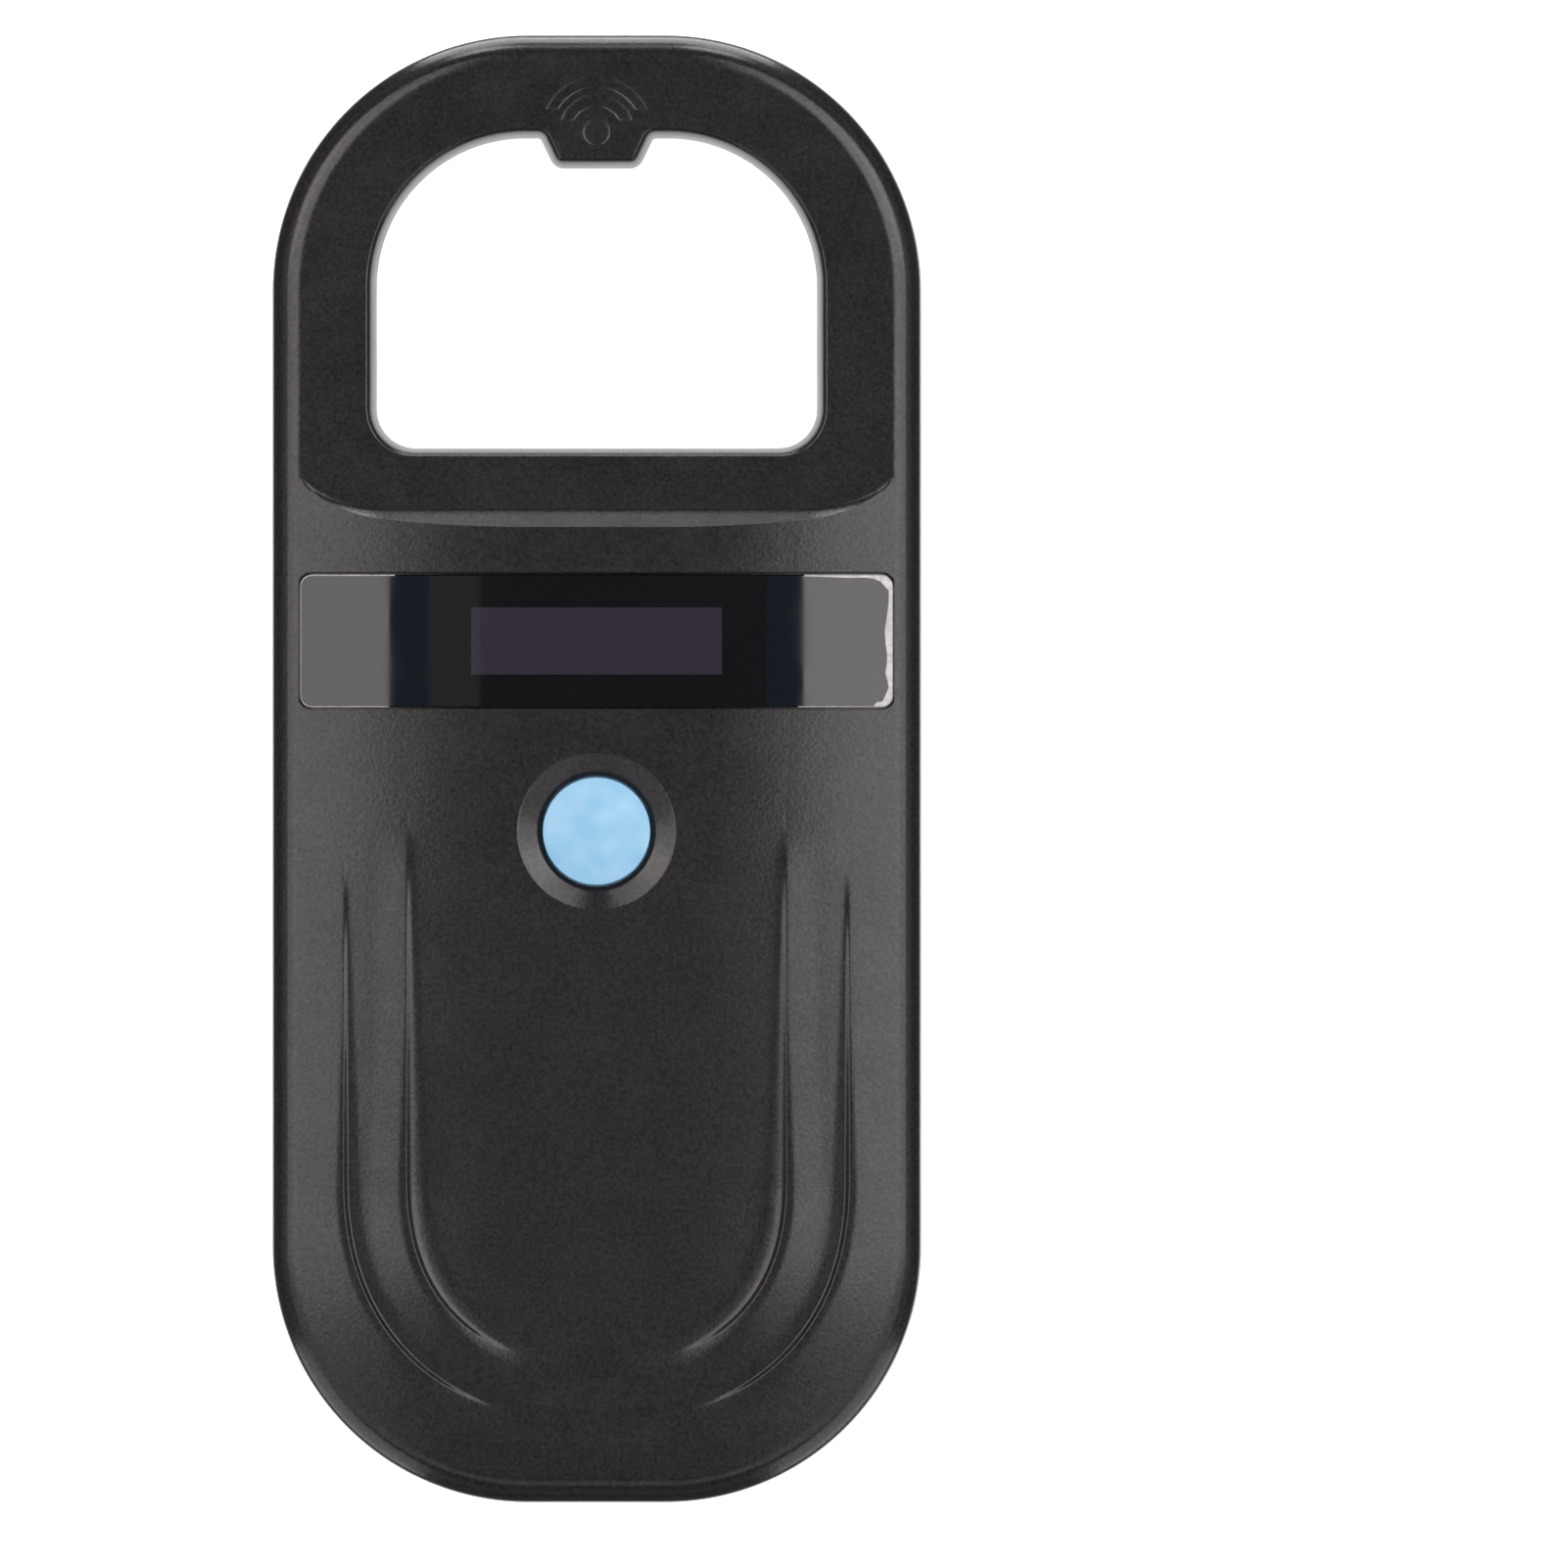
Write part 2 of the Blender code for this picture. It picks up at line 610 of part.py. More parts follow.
def front_shell():
    below = PARTING_Z - 1.0 * MM
    outer = block([outline(SIDE_DRAFT), opening(0.0)], [outline(0.0), opening(-OPENING_DRAFT)],
                  face, level(PARTING_Z), face_lines() + dish_lines())
    shell = add("front_shell", outer, PLASTIC)
    inner = [outline(WALL), plain_opening(WALL)]
    cut(shell, "front_cavity", block(inner, inner, ceiling, level(below), ceiling_lines()))
    rebate = [outline(REBATE_INSET), plain_opening(WALL)]
    cut(shell, "front_rebate",
        block(rebate, rebate, level(PARTING_Z + REBATE_DEPTH), level(below)))
    pad = rectangle(-HALF_WIDTH + 1.5 * MM, HALF_WIDTH - 1.5 * MM,
                    LENS_Y - LENS_HALF_HEIGHT - PAD_MARGIN,
                    LENS_Y + LENS_HALF_HEIGHT + PAD_MARGIN)
    fuse(shell, "lens_pad", domed_plate([pad], 1.0 * MM, PAD_DEPTH))
    bosses = [prism(circle(x, y, FRONT_BOSS_RADIUS, 16), PARTING_Z, smooth_face(x, y) - MM)
              for x, y in SHELL_SCREWS]
    bosses += [prism(circle(x, y, FRONT_BOSS_RADIUS, 16), PCB_FRONT + PART_GAP,
                     smooth_face(x, y) - MM) for x, y in PCB_SCREWS]
    fuse(shell, "front_bosses", joined(bosses))
    cut(shell, "front_pilots", cylinders(SHELL_SCREWS, PILOT_RADIUS, below, PILOT_END))
    cut(shell, "pcb_pilots", cylinders(PCB_SCREWS, PILOT_RADIUS, below, PCB_PILOT_END))
    cut(shell, "lens_recess", domed_plate([lens_outline(LENS_GAP)], -2.0 * MM, RECESS_DEPTH))
    window = rounded(box_corners(
        -PANEL_HALF_WIDTH, PANEL_HALF_WIDTH, LENS_Y - PANEL_HALF_HEIGHT + MM,
        LENS_Y + PANEL_HALF_HEIGHT - MM, 1.0 * MM, 1.0 * MM, 3))
    cut(shell, "display_window", prism(window, THICKNESS - 5.0 * MM, THICKNESS + MM))
    cut(shell, "button_hole", prism(circle(0.0, BUTTON_Y, BUTTON_RADIUS + BUTTON_GAP),
                                    THICKNESS - 5.0 * MM, THICKNESS + MM))
    port_cuts(shell, "front")
    return shell


def rear_shell():
    above = PARTING_Z + 1.0 * MM
    outer = block([outline(0.0), opening(-OPENING_DRAFT)], [outline(SIDE_DRAFT), opening(0.0)],
                  level(PARTING_Z), back_face, (),
                  rim_rings(BACK_RIM_RADIUS, SIDE_DRAFT))
    shell = add("rear_shell", outer, PLASTIC)
    inner = [outline(WALL), plain_opening(WALL)]
    cut(shell, "rear_cavity", block(inner, inner, level(above), level(FLOOR)))
    lip = [outline(LIP_INSET), outline(WALL)]
    fuse(shell, "rear_lip",
         block(lip, lip, level(PARTING_Z + LIP_HEIGHT), level(PARTING_Z - LIP_HEIGHT)))
    port_cuts(shell, "rear")
    fuse(shell, "rear_bosses",
         cylinders(SHELL_SCREWS, REAR_BOSS_RADIUS, FLOOR / 2.0, PARTING_Z - TOUCH_GAP))
    cut(shell, "screw_wells", cylinders(SHELL_SCREWS, SCREW_WELL_RADIUS, -MM, SCREW_SEAT))
    cut(shell, "screw_holes", cylinders(SHELL_SCREWS, REAR_HOLE_RADIUS, -MM, above))
    label = rounded(box_corners(
        -LABEL_HALF_WIDTH - LABEL_RECESS_MARGIN, LABEL_HALF_WIDTH + LABEL_RECESS_MARGIN,
        LABEL_LOW - LABEL_RECESS_MARGIN, LABEL_HIGH + LABEL_RECESS_MARGIN,
        2.0 * MM, 2.0 * MM, 4))
    cut(shell, "label_recess", prism(label, -MM, LABEL_RECESS_DEPTH))
    return shell


def port_cuts(shell, prefix):
    """The slot for the charging socket, and the shallow recess for a plug round it."""
    slot = cuboid(-USB_HALF_WIDTH - TOUCH_GAP, USB_HALF_WIDTH + TOUCH_GAP,
                  -HALF_LENGTH - MM, -HALF_LENGTH + 2.0 * WALL,
                  USB_BOTTOM - TOUCH_GAP, USB_TOP + TOUCH_GAP)
    cut(shell, prefix + "_port_slot", slot)
    recess = cuboid(-PORT_RECESS_HALF, PORT_RECESS_HALF,
                    -HALF_LENGTH - MM, -HALF_LENGTH + PORT_RECESS_DEPTH,
                    USB_BOTTOM - PORT_RECESS_MARGIN, USB_TOP + PORT_RECESS_MARGIN)
    cut(shell, prefix + "_port_recess", recess)


def shell_screws():
    """Cross-head screws, driven in from the back."""
    for number, (x, y) in enumerate(SHELL_SCREWS, 1):
        seat = SCREW_SEAT - TOUCH_GAP
        screw(f"shell_screw_{number}", x, y, seat, SCREW_TIP,
              SCREW_HEAD_RADIUS, SCREW_HEAD_HEIGHT)


def pcb_screws():
    for number, (x, y) in enumerate(PCB_SCREWS, 1):
        seat = PCB_BACK - TOUCH_GAP
        screw(f"pcb_screw_{number}", x, y, seat, PCB_SCREW_TIP,
              PCB_SCREW_HEAD_RADIUS, PCB_SCREW_HEAD_HEIGHT)


def screw(name, x, y, seat, tip, head_radius, head_height):
    """A pan-head screw that points up, with its head's underside at seat."""
    length = tip - seat
    edge = 0.4 * MM
    body = turned([(head_radius - edge, -head_height), (head_radius, edge - head_height),
                   (head_radius, 0.0), (SCREW_SHANK_RADIUS, 0.0),
                   (SCREW_SHANK_RADIUS, length - MM), (SCREW_SHANK_RADIUS / 4.0, length)], 16)
    made = add(name, body, STEEL, (x, y, seat))
    arm = head_radius * 0.62
    half = head_radius * 0.16
    cross = [(half, half), (half, arm), (-half, arm), (-half, half), (-arm, half),
             (-arm, -half), (-half, -half), (-half, -arm), (half, -arm), (half, -half),
             (arm, -half), (arm, half)]
    cut(made, name + "_cross", prism([(x + px, y + py) for px, py in cross],
                                     seat - head_height - MM, seat - head_height * 0.45))


# ---------------------------------------------------------------- display and button

def display():
    add("display_lens", domed_plate([lens_outline(0.0)], LENS_SINK, LENS_SINK + LENS_THICKNESS),
        GLOSS_BLACK)
    tape_top = LENS_SINK + LENS_THICKNESS + TAPE_GAP
    frame = [lens_outline(-TAPE_INSET), lens_outline(-TAPE_INSET - TAPE_WIDTH)]
    add("lens_tape", domed_plate(frame, tape_top, tape_top + TAPE_THICKNESS), LABEL)
    low = LENS_Y - PANEL_HALF_HEIGHT
    high = LENS_Y + PANEL_HALF_HEIGHT
    bottom = PANEL_TOP - PANEL_THICKNESS
    add("oled_panel",
        cuboid(-PANEL_HALF_WIDTH, PANEL_HALF_WIDTH, low, high, bottom, PANEL_TOP), PANEL_GLASS)
    add("oled_foam_pad", cuboid(-14.0 * MM, 14.0 * MM, low + MM, high - MM,
                                CHIP_BASE, bottom - PART_GAP), FOAM)
    ribbon()


def ribbon():
    """The display's ribbon, which runs down from its lower edge to the board."""
    half_width = 6.0 * MM
    thickness = 0.25 * MM
    edge = LENS_Y - PANEL_HALF_HEIGHT - TOUCH_GAP
    high = PANEL_TOP - PANEL_THICKNESS / 2.0
    low = CHIP_BASE + thickness
    steps = 8
    reach = 7.0 * MM
    path = []
    for step in range(steps + 1):
        share = step / steps
        ease = (1.0 - math.cos(math.pi * share)) / 2.0
        path.append((edge - reach * share, high + (low - high) * ease))
    mesh = bmesh.new()
    rings = []
    for y, z in path:
        rings.append([mesh.verts.new((x, y, z + side * thickness / 2.0))
                      for x, side in ((-half_width, -1), (half_width, -1),
                                      (half_width, 1), (-half_width, 1))])
    for last, following in zip(rings, rings[1:]):
        wall(mesh, last, following)
    mesh.faces.new(rings[0])
    mesh.faces.new(rings[-1])
    bmesh.ops.recalc_face_normals(mesh, faces=mesh.faces)
    add("oled_flex", mesh, AMBER)


def button():
    """The cap slides down its axis, and its stem presses the switch."""
    profile = [(BUTTON_STEM_RADIUS, BUTTON_STEM_BOTTOM),
               (BUTTON_STEM_RADIUS, BUTTON_FLANGE_BOTTOM),
               (BUTTON_FLANGE_RADIUS, BUTTON_FLANGE_BOTTOM),
               (BUTTON_FLANGE_RADIUS, BUTTON_FLANGE_TOP),
               (BUTTON_RADIUS, BUTTON_FLANGE_TOP),
               (BUTTON_RADIUS, BUTTON_EDGE_Z - 0.3 * MM),
               (BUTTON_RADIUS - 0.3 * MM, BUTTON_EDGE_Z)]
    for share in (0.66, 0.33):
        radius = (BUTTON_RADIUS - 0.3 * MM) * share
        profile.append((radius, BUTTON_EDGE_Z + BUTTON_DOME * (1.0 - share ** 2)))
    profile = [(radius, height - BUTTON_EDGE_Z) for radius, height in profile]
    add("button_cap", turned(profile, 32), BUTTON_BLUE, (0.0, BUTTON_Y, BUTTON_EDGE_Z))


def switch():
    body = cuboid(-SWITCH_HALF, SWITCH_HALF, BUTTON_Y - SWITCH_HALF, BUTTON_Y + SWITCH_HALF,
                  CHIP_BASE, SWITCH_TOP)
    made = add("tact_switch_body", body, CHIP_BLACK)
    cut(made, "switch_bore", prism(circle(0.0, BUTTON_Y, SWITCH_BORE_RADIUS, 16),
                                   SWITCH_BORE_FLOOR, SWITCH_TOP + MM))
    top = BUTTON_STEM_BOTTOM - TOUCH_GAP
    plunger = turned([(PLUNGER_RADIUS, PLUNGER_BOTTOM - top), (PLUNGER_RADIUS, 0.0)], 16)
    add("tact_switch_plunger", plunger, CREAM, (0.0, BUTTON_Y, top))


# ---------------------------------------------------------------- electronics

def circuit_board():
    loop = rounded(box_corners(-PCB_HALF_WIDTH, PCB_HALF_WIDTH, PCB_LOW, PCB_HIGH,
                               PCB_LOW_RADIUS, PCB_HIGH_RADIUS))
    board = add("main_pcb", prism(loop, PCB_BACK, PCB_FRONT), BOARD_GREEN)
    corner = [place for place in SHELL_SCREWS if place[1] < PCB_LOW + 20.0 * MM]
    cut(board, "boss_notches",
        cylinders(corner, FRONT_BOSS_RADIUS + 0.5 * MM, PCB_BACK - MM, PCB_FRONT + MM))
    cut(board, "pcb_holes",
        cylinders(PCB_SCREWS, PCB_HOLE_RADIUS, PCB_BACK - MM, PCB_FRONT + MM))


def chip(name, x, y, width, length, height, look):
    """A component on the front of the board."""
    add(name, cuboid(x - width / 2.0, x + width / 2.0, y - length / 2.0, y + length / 2.0,
                     CHIP_BASE, CHIP_BASE + height), look)


def components():
    chip("mcu_chip", -12.0 * MM, -24.0 * MM, 7.0 * MM, 7.0 * MM, 1.4 * MM, CHIP_BLACK)
    chip("rf_reader_chip", 13.0 * MM, -24.0 * MM, 5.0 * MM, 6.2 * MM, 1.5 * MM, CHIP_BLACK)
    chip("charger_chip", -8.0 * MM, -64.0 * MM, 3.0 * MM, 3.0 * MM, 1.0 * MM, CHIP_BLACK)
    chip("crystal", -12.0 * MM, -34.0 * MM, 5.0 * MM, 3.2 * MM, 1.1 * MM, STEEL)
    chip("power_inductor", 9.0 * MM, -63.0 * MM, 5.0 * MM, 5.0 * MM, 2.5 * MM, CHIP_BLACK)
    for number, x in enumerate((10.0 * MM, 15.0 * MM), 1):
        chip(f"tuning_capacitor_{number}", x, -33.0 * MM, 1.6 * MM, 3.2 * MM, 1.2 * MM, CERAMIC)
    sounder = turned([(4.5 * MM, 0.0), (4.5 * MM, 3.0 * MM), (1.2 * MM, 3.0 * MM),
                      (1.2 * MM, 2.6 * MM)])
    add("buzzer", sounder, CHIP_BLACK, (12.0 * MM, -46.0 * MM, CHIP_BASE))


def charging_socket():
    """A metal tube, open towards the flat end, and the contact tongue in it."""
    shell = add("usb_socket", cuboid(-USB_HALF_WIDTH, USB_HALF_WIDTH, USB_MOUTH_Y, USB_REAR_Y,
                                     USB_BOTTOM, USB_TOP), STEEL)
    inner_half = USB_HALF_WIDTH - USB_SKIN
    cut(shell, "socket_bore", cuboid(-inner_half, inner_half, USB_MOUTH_Y - MM,
                                     USB_REAR_Y - USB_SKIN,
                                     USB_BOTTOM + USB_SKIN, USB_TOP - USB_SKIN))
    middle = (USB_TOP + USB_BOTTOM) / 2.0
    add("usb_tongue", cuboid(-inner_half + 1.6 * MM, inner_half - 1.6 * MM,
                             USB_MOUTH_Y + 0.8 * MM, USB_REAR_Y - USB_SKIN - TOUCH_GAP,
                             middle - 0.3 * MM, middle + 0.3 * MM), CHIP_BLACK)


def antenna():
    """The copper winding round the opening, and its two leads to the board."""
    ring = [plain_opening(COIL_OFFSET + COIL_WIDTH), plain_opening(COIL_OFFSET)]
    add("antenna_coil", block(ring, ring, level(COIL_TOP), level(COIL_BOTTOM)), COPPER)
    start_y = OPENING_LOW - COIL_OFFSET - COIL_WIDTH - TOUCH_GAP
    start_z = (COIL_BOTTOM + COIL_TOP) / 2.0 + MM
    end_z = PCB_FRONT + TOUCH_GAP + WIRE_RADIUS
    for name, side in (("coil_lead_left", -1), ("coil_lead_right", 1)):
        wire(name, [(side * 3.0 * MM, start_y, start_z),
                    (side * 3.2 * MM, start_y - 2.0 * MM, start_z + 0.4 * MM),
                    (side * 4.5 * MM, start_y - 5.0 * MM, end_z + 0.6 * MM),
                    (side * 5.5 * MM, start_y - 8.0 * MM, end_z),
                    (side * 5.6 * MM, start_y - 9.5 * MM, end_z)], AMBER)


def battery():
    add("battery_foam_pad", cuboid(-CELL_HALF_WIDTH + MM, CELL_HALF_WIDTH - MM,
                                   CELL_LOW + MM, CELL_HIGH - MM,
                                   FLOOR + PART_GAP, FOAM_TOP), FOAM)
    cell = rounded(box_corners(-CELL_HALF_WIDTH, CELL_HALF_WIDTH, CELL_LOW, CELL_HIGH,
                               1.5 * MM, 1.5 * MM, 3))
    add("battery_cell", prism(cell, FOAM_TOP + PART_GAP, CELL_TOP), SILVER_FOIL)
    top = PCB_BACK - PART_GAP
    add("battery_connector", cuboid(CONNECTOR_X - 3.0 * MM, CONNECTOR_X + 3.0 * MM,
                                    CONNECTOR_Y - 2.2 * MM, CONNECTOR_Y + 2.2 * MM,
                                    top - 4.0 * MM, top), CREAM)
    start_y = CELL_HIGH + TOUCH_GAP
    start_z = CELL_TOP - 1.2 * MM
    end_y = CONNECTOR_Y - 2.2 * MM - TOUCH_GAP
    end_z = top - 2.0 * MM
    for name, side, look in (("battery_wire_positive", -1, RED),
                             ("battery_wire_negative", 1, BLACK_WIRE)):
        end_x = CONNECTOR_X + side * 1.0 * MM
        start_x = CONNECTOR_X + side * 3.0 * MM
        wire(name, [(start_x, start_y, start_z),
                    (start_x, start_y + 1.5 * MM, start_z),
                    ((start_x + end_x) / 2.0, (start_y + end_y) / 2.0, (start_z + end_z) / 2.0),
                    (end_x, end_y - 1.5 * MM, end_z),
                    (end_x, end_y, end_z)], look)


def wire(name, route, look):
    """An insulated wire along a smooth curve through the route's points."""
    per_span = 3
    places = [Vector(point) for point in route]
    smooth = []
    for i in range(len(places) - 1):
        before = places[max(i - 1, 0)]
        after = places[min(i + 2, len(places) - 1)]
        for step in range(per_span):
            smooth.append(catmull(before, places[i], places[i + 1], after, step / per_span))
    smooth.append(places[-1])
    curve = bpy.data.curves.new(name, "CURVE")
    curve.dimensions = "3D"
    curve.bevel_depth = WIRE_RADIUS
    curve.bevel_resolution = 2
    curve.use_fill_caps = True
    spline = curve.splines.new("POLY")
    spline.points.add(len(smooth) - 1)
    for point, place in zip(spline.points, smooth):
        point.co = (*place, 1.0)
    curve.materials.append(material(name, look))
    bpy.context.collection.objects.link(bpy.data.objects.new(name, curve))


def catmull(before, start, end, after, share):
    """A point on the Catmull-Rom curve between start and end."""
    square = share * share
    cube = square * share
    return 0.5 * (2.0 * start + (end - before) * share
                  + (2.0 * before - 5.0 * start + 4.0 * end - after) * square
                  + (3.0 * start - 3.0 * end + after - before) * cube)


def rear_label():
    loop = rounded(box_corners(-LABEL_HALF_WIDTH, LABEL_HALF_WIDTH, LABEL_LOW, LABEL_HIGH,
                               1.6 * MM, 1.6 * MM, 4))
    add("rear_label", prism(loop, 0.1 * MM, LABEL_RECESS_DEPTH - PART_GAP), LABEL)


def main():
    for old in list(bpy.data.objects):
        bpy.data.objects.remove(old)
    front_shell()
    rear_shell()
    shell_screws()
    display()
    button()
    switch()
    circuit_board()
    pcb_screws()
    components()
    charging_socket()
    antenna()
    battery()
    rear_label()


main()
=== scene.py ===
"""Looks of the handheld microchip scanner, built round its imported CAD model.

The frame is the CAD's, in metres: the scanner lies on its back, face up. +X is its right side,
+Y points to the antenna loop and +Z comes out of its face.
"""

import json
import math

import bmesh
import bpy
import numpy as np
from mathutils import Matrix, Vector
from mathutils.geometry import delaunay_2d_cdt
from mathutils.kdtree import KDTree


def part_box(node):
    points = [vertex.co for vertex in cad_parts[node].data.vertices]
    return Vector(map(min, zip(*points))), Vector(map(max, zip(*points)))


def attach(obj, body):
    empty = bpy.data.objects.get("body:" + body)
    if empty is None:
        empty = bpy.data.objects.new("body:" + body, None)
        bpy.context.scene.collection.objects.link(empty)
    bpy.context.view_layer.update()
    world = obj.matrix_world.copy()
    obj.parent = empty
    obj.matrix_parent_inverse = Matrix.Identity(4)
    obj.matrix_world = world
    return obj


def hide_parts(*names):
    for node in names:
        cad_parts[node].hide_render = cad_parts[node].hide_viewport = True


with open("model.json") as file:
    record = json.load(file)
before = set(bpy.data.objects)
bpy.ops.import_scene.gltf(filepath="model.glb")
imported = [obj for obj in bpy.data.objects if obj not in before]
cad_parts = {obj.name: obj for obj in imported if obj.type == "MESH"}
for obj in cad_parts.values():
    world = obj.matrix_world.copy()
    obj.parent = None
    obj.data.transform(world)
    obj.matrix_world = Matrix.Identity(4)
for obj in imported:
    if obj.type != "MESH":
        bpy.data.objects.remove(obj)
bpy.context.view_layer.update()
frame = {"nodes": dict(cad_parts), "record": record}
MM = 0.001

# Housing, as in the CAD
SHELL_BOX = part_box("front_shell")
HALF_WIDTH = SHELL_BOX[1].x
HALF_LENGTH = SHELL_BOX[1].y
THICKNESS = SHELL_BOX[1].z
PARTING_Z = SHELL_BOX[0].z
CORNER_RADIUS = 27.9 * MM
CORNER_X = HALF_WIDTH - CORNER_RADIUS
CORNER_Y = HALF_LENGTH - CORNER_RADIUS
SIDE_DRAFT = 0.15 * MM
WALL = 2.0 * MM
FRONT_RIM_RADIUS = 2.6 * MM
BACK_RIM_RADIUS = 2.0 * MM
PARTING_CHAMFER = 0.12 * MM

# Domed face, and the flat face round the loop
CREASE_INSET = 3.0 * MM
CROWN_DROP = 1.6 * MM
FACE_PLANE = THICKNESS - CROWN_DROP
STEP_FOOT_Y = 28.3 * MM
STEP_CORNER_WIDTH = 10.0 * MM
STEP_CORNER_HEIGHT = 4.4 * MM
STEP_CORNER_X = HALF_WIDTH - CREASE_INSET - STEP_CORNER_WIDTH
STEP_CORNER_Y = STEP_FOOT_Y + STEP_CORNER_HEIGHT
STEP_SLOPE = 0.8
STEP_FOOT_ROUNDING = 0.35 * MM

# Loop opening, with the tab at its top edge
OPENING_HALF_WIDTH = 24.85 * MM
OPENING_LOW = 34.1 * MM
OPENING_HIGH = 69.6 * MM
OPENING_LOW_RADIUS = 5.1 * MM
OPENING_HIGH_RADIUS = 17.1 * MM
OPENING_DRAFT = 0.86 * MM
OPENING_EDGE = 0.28 * MM
OPENING_EDGE_ROUNDING = 0.3 * MM
OPENING_LEAD_ANGLE = math.radians(70.0)
OPENING_LEAD = 0.26 * MM
EDGE_STEPS = 7
TAB_TIP_Y = 66.3 * MM
TAB_TIP_HALF = 4.05 * MM
TAB_TIP_RADIUS = 0.7 * MM
TAB_ROOT_HALF = 5.6 * MM
TAB_ROOT_RADIUS = 1.3 * MM

# Two nested U-shaped ledges: the face steps down inside each of them
LEDGE_CENTRE_Y = -44.3 * MM
LEDGE_FULL_Y = -46.0 * MM
LEDGE_LIP_Y = -26.0 * MM
LEDGE_LIP_SLOPE = 0.11
LEDGE_WALL_SLOPE = 1.3
LEDGE_WALL_WIDTH = 0.4 * MM
LEDGE_SOFTNESS = 0.15 * MM
LEDGE_CREST_ROUNDING = 0.04 * MM
LEDGE_END_REACH = 3.0 * MM
LEDGE_SWELL_GAP = 0.2 * MM
LEDGE_FOOT_FADE = 0.1
LEDGE_SWELL_FADE = 0.2
OUTER_LEDGE = {"half": 27.5 * MM, "reach": 26.8 * MM, "power": 2.3, "start": -11.0 * MM,
               "lip": 0.75 * MM, "foot": 1.4 * MM, "foot slope": 0.07, "foot rounding": 0.07 * MM,
               "foot softness": 0.2 * MM, "swell": 0.0, "swell width": 1.0 * MM,
               "end": (9.0 * MM, 24.0 * MM)}
INNER_LEDGE = {"half": 20.65 * MM, "reach": 20.5 * MM, "power": 2.4, "start": -6.0 * MM,
               "lip": 0.75 * MM, "foot": 1.6 * MM, "foot slope": 0.15, "foot rounding": 0.2 * MM,
               "foot softness": 0.45 * MM, "swell": 0.032, "swell width": 3.0 * MM,
               "end": (8.0 * MM, 18.0 * MM)}

# Pictogram on the loop: a ring and two arcs, engraved
ICON_Y = 69.3 * MM
ICON_RING_RADIUS = 1.4 * MM
ICON_ARCS = ((2.8 * MM, 4.05 * MM, 1.3 * MM), (4.9 * MM, 6.0 * MM, 2.5 * MM))
ICON_DEPTH = 0.045 * MM
ICON_EDGE = 0.17 * MM

# Display window
LENS_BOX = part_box("display_lens")
LENS_HALF_WIDTH = LENS_BOX[1].x
LENS_Y = (LENS_BOX[0].y + LENS_BOX[1].y) / 2.0
LENS_HALF_HEIGHT = (LENS_BOX[1].y - LENS_BOX[0].y) / 2.0
LENS_CORNER = 1.3 * MM
LENS_THICKNESS = 1.2 * MM
LENS_SINK = 0.1 * MM
LENS_GAP = 0.2 * MM
LENS_BEVEL = 0.13 * MM
RECESS_EDGE = 0.12 * MM
RECESS_DEPTH = 1.7 * MM
PAD_DEPTH = 3.0 * MM
PAD_MARGIN = 1.2 * MM
PAD_SIDE_MARGIN = 0.6 * MM
PANEL_HALF_WIDTH = 16.5 * MM
PANEL_HALF_HEIGHT = 5.0 * MM
SCREEN_HALF_WIDTH = 13.65 * MM
SCREEN_HALF_HEIGHT = 3.65 * MM
WINDOW_COLUMN = 0.5 * MM

# Adhesive that shows at the window's right end, in mm: its inner edge is given by x and the
# distance from the window's bevel at the top and at the foot, and by y and a width in between
FILM_TOP = ((22.4, 0.04), (25.0, 0.12), (27.5, 0.22), (29.3, 0.18), (30.2, 0.30), (30.9, 0.62),
            (31.3, 1.05))
FILM_WIDTHS = ((8.6, 0.36), (9.4, 0.46), (10.4, 0.74), (11.3, 0.58), (12.4, 0.54),
               (13.7, 0.72), (15.0, 0.80), (16.6, 0.56), (18.0, 0.38), (19.4, 0.36))
FILM_FOOT = ((31.25, 0.75), (31.1, 0.5), (30.5, 0.42), (30.2, 0.12))
FILM_START_X = FILM_TOP[0][0] * MM
FILM_STEP = 0.2

# Push button
BUTTON_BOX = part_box("button_cap")
BUTTON_Y = (BUTTON_BOX[0].y + BUTTON_BOX[1].y) / 2.0
BUTTON_TOP = BUTTON_BOX[1].z
BUTTON_BOTTOM = BUTTON_BOX[0].z
BUTTON_RADIUS = 5.85 * MM
BUTTON_DOME = 0.44 * MM
BUTTON_BEVEL = 0.15 * MM
BUTTON_STEM_RADIUS = 2.0 * MM
FLANGE_RADIUS = 7.0 * MM
FLANGE_BOTTOM = 18.2 * MM
FLANGE_TOP = 19.1 * MM
HOLE_RADIUS = 6.05 * MM
HOLE_EDGE = 0.85 * MM
DISH_RADIUS = 8.6 * MM
DISH_FOOT_RADIUS = 6.5 * MM
DISH_DEPTH = 0.8 * MM

# Screw bosses
SHELL_SCREW_BOXES = [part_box(f"shell_screw_{number}") for number in range(1, 7)]
PCB_SCREW_BOXES = [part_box(f"pcb_screw_{number}") for number in range(1, 5)]
FRONT_BOSS_RADIUS = 2.1 * MM
REAR_BOSS_RADIUS = 2.25 * MM
PILOT_RADIUS = 1.25 * MM
SHELL_PILOT_END = 15.5 * MM
PCB_PILOT_END = 17.0 * MM
PCB_BOSS_END = 13.1 * MM
WELL_RADIUS = 2.1 * MM
WELL_DEPTH = 4.0 * MM
REAR_HOLE_RADIUS = 1.3 * MM
REAR_BOSS_END = 9.7 * MM
FLOOR = 2.0 * MM

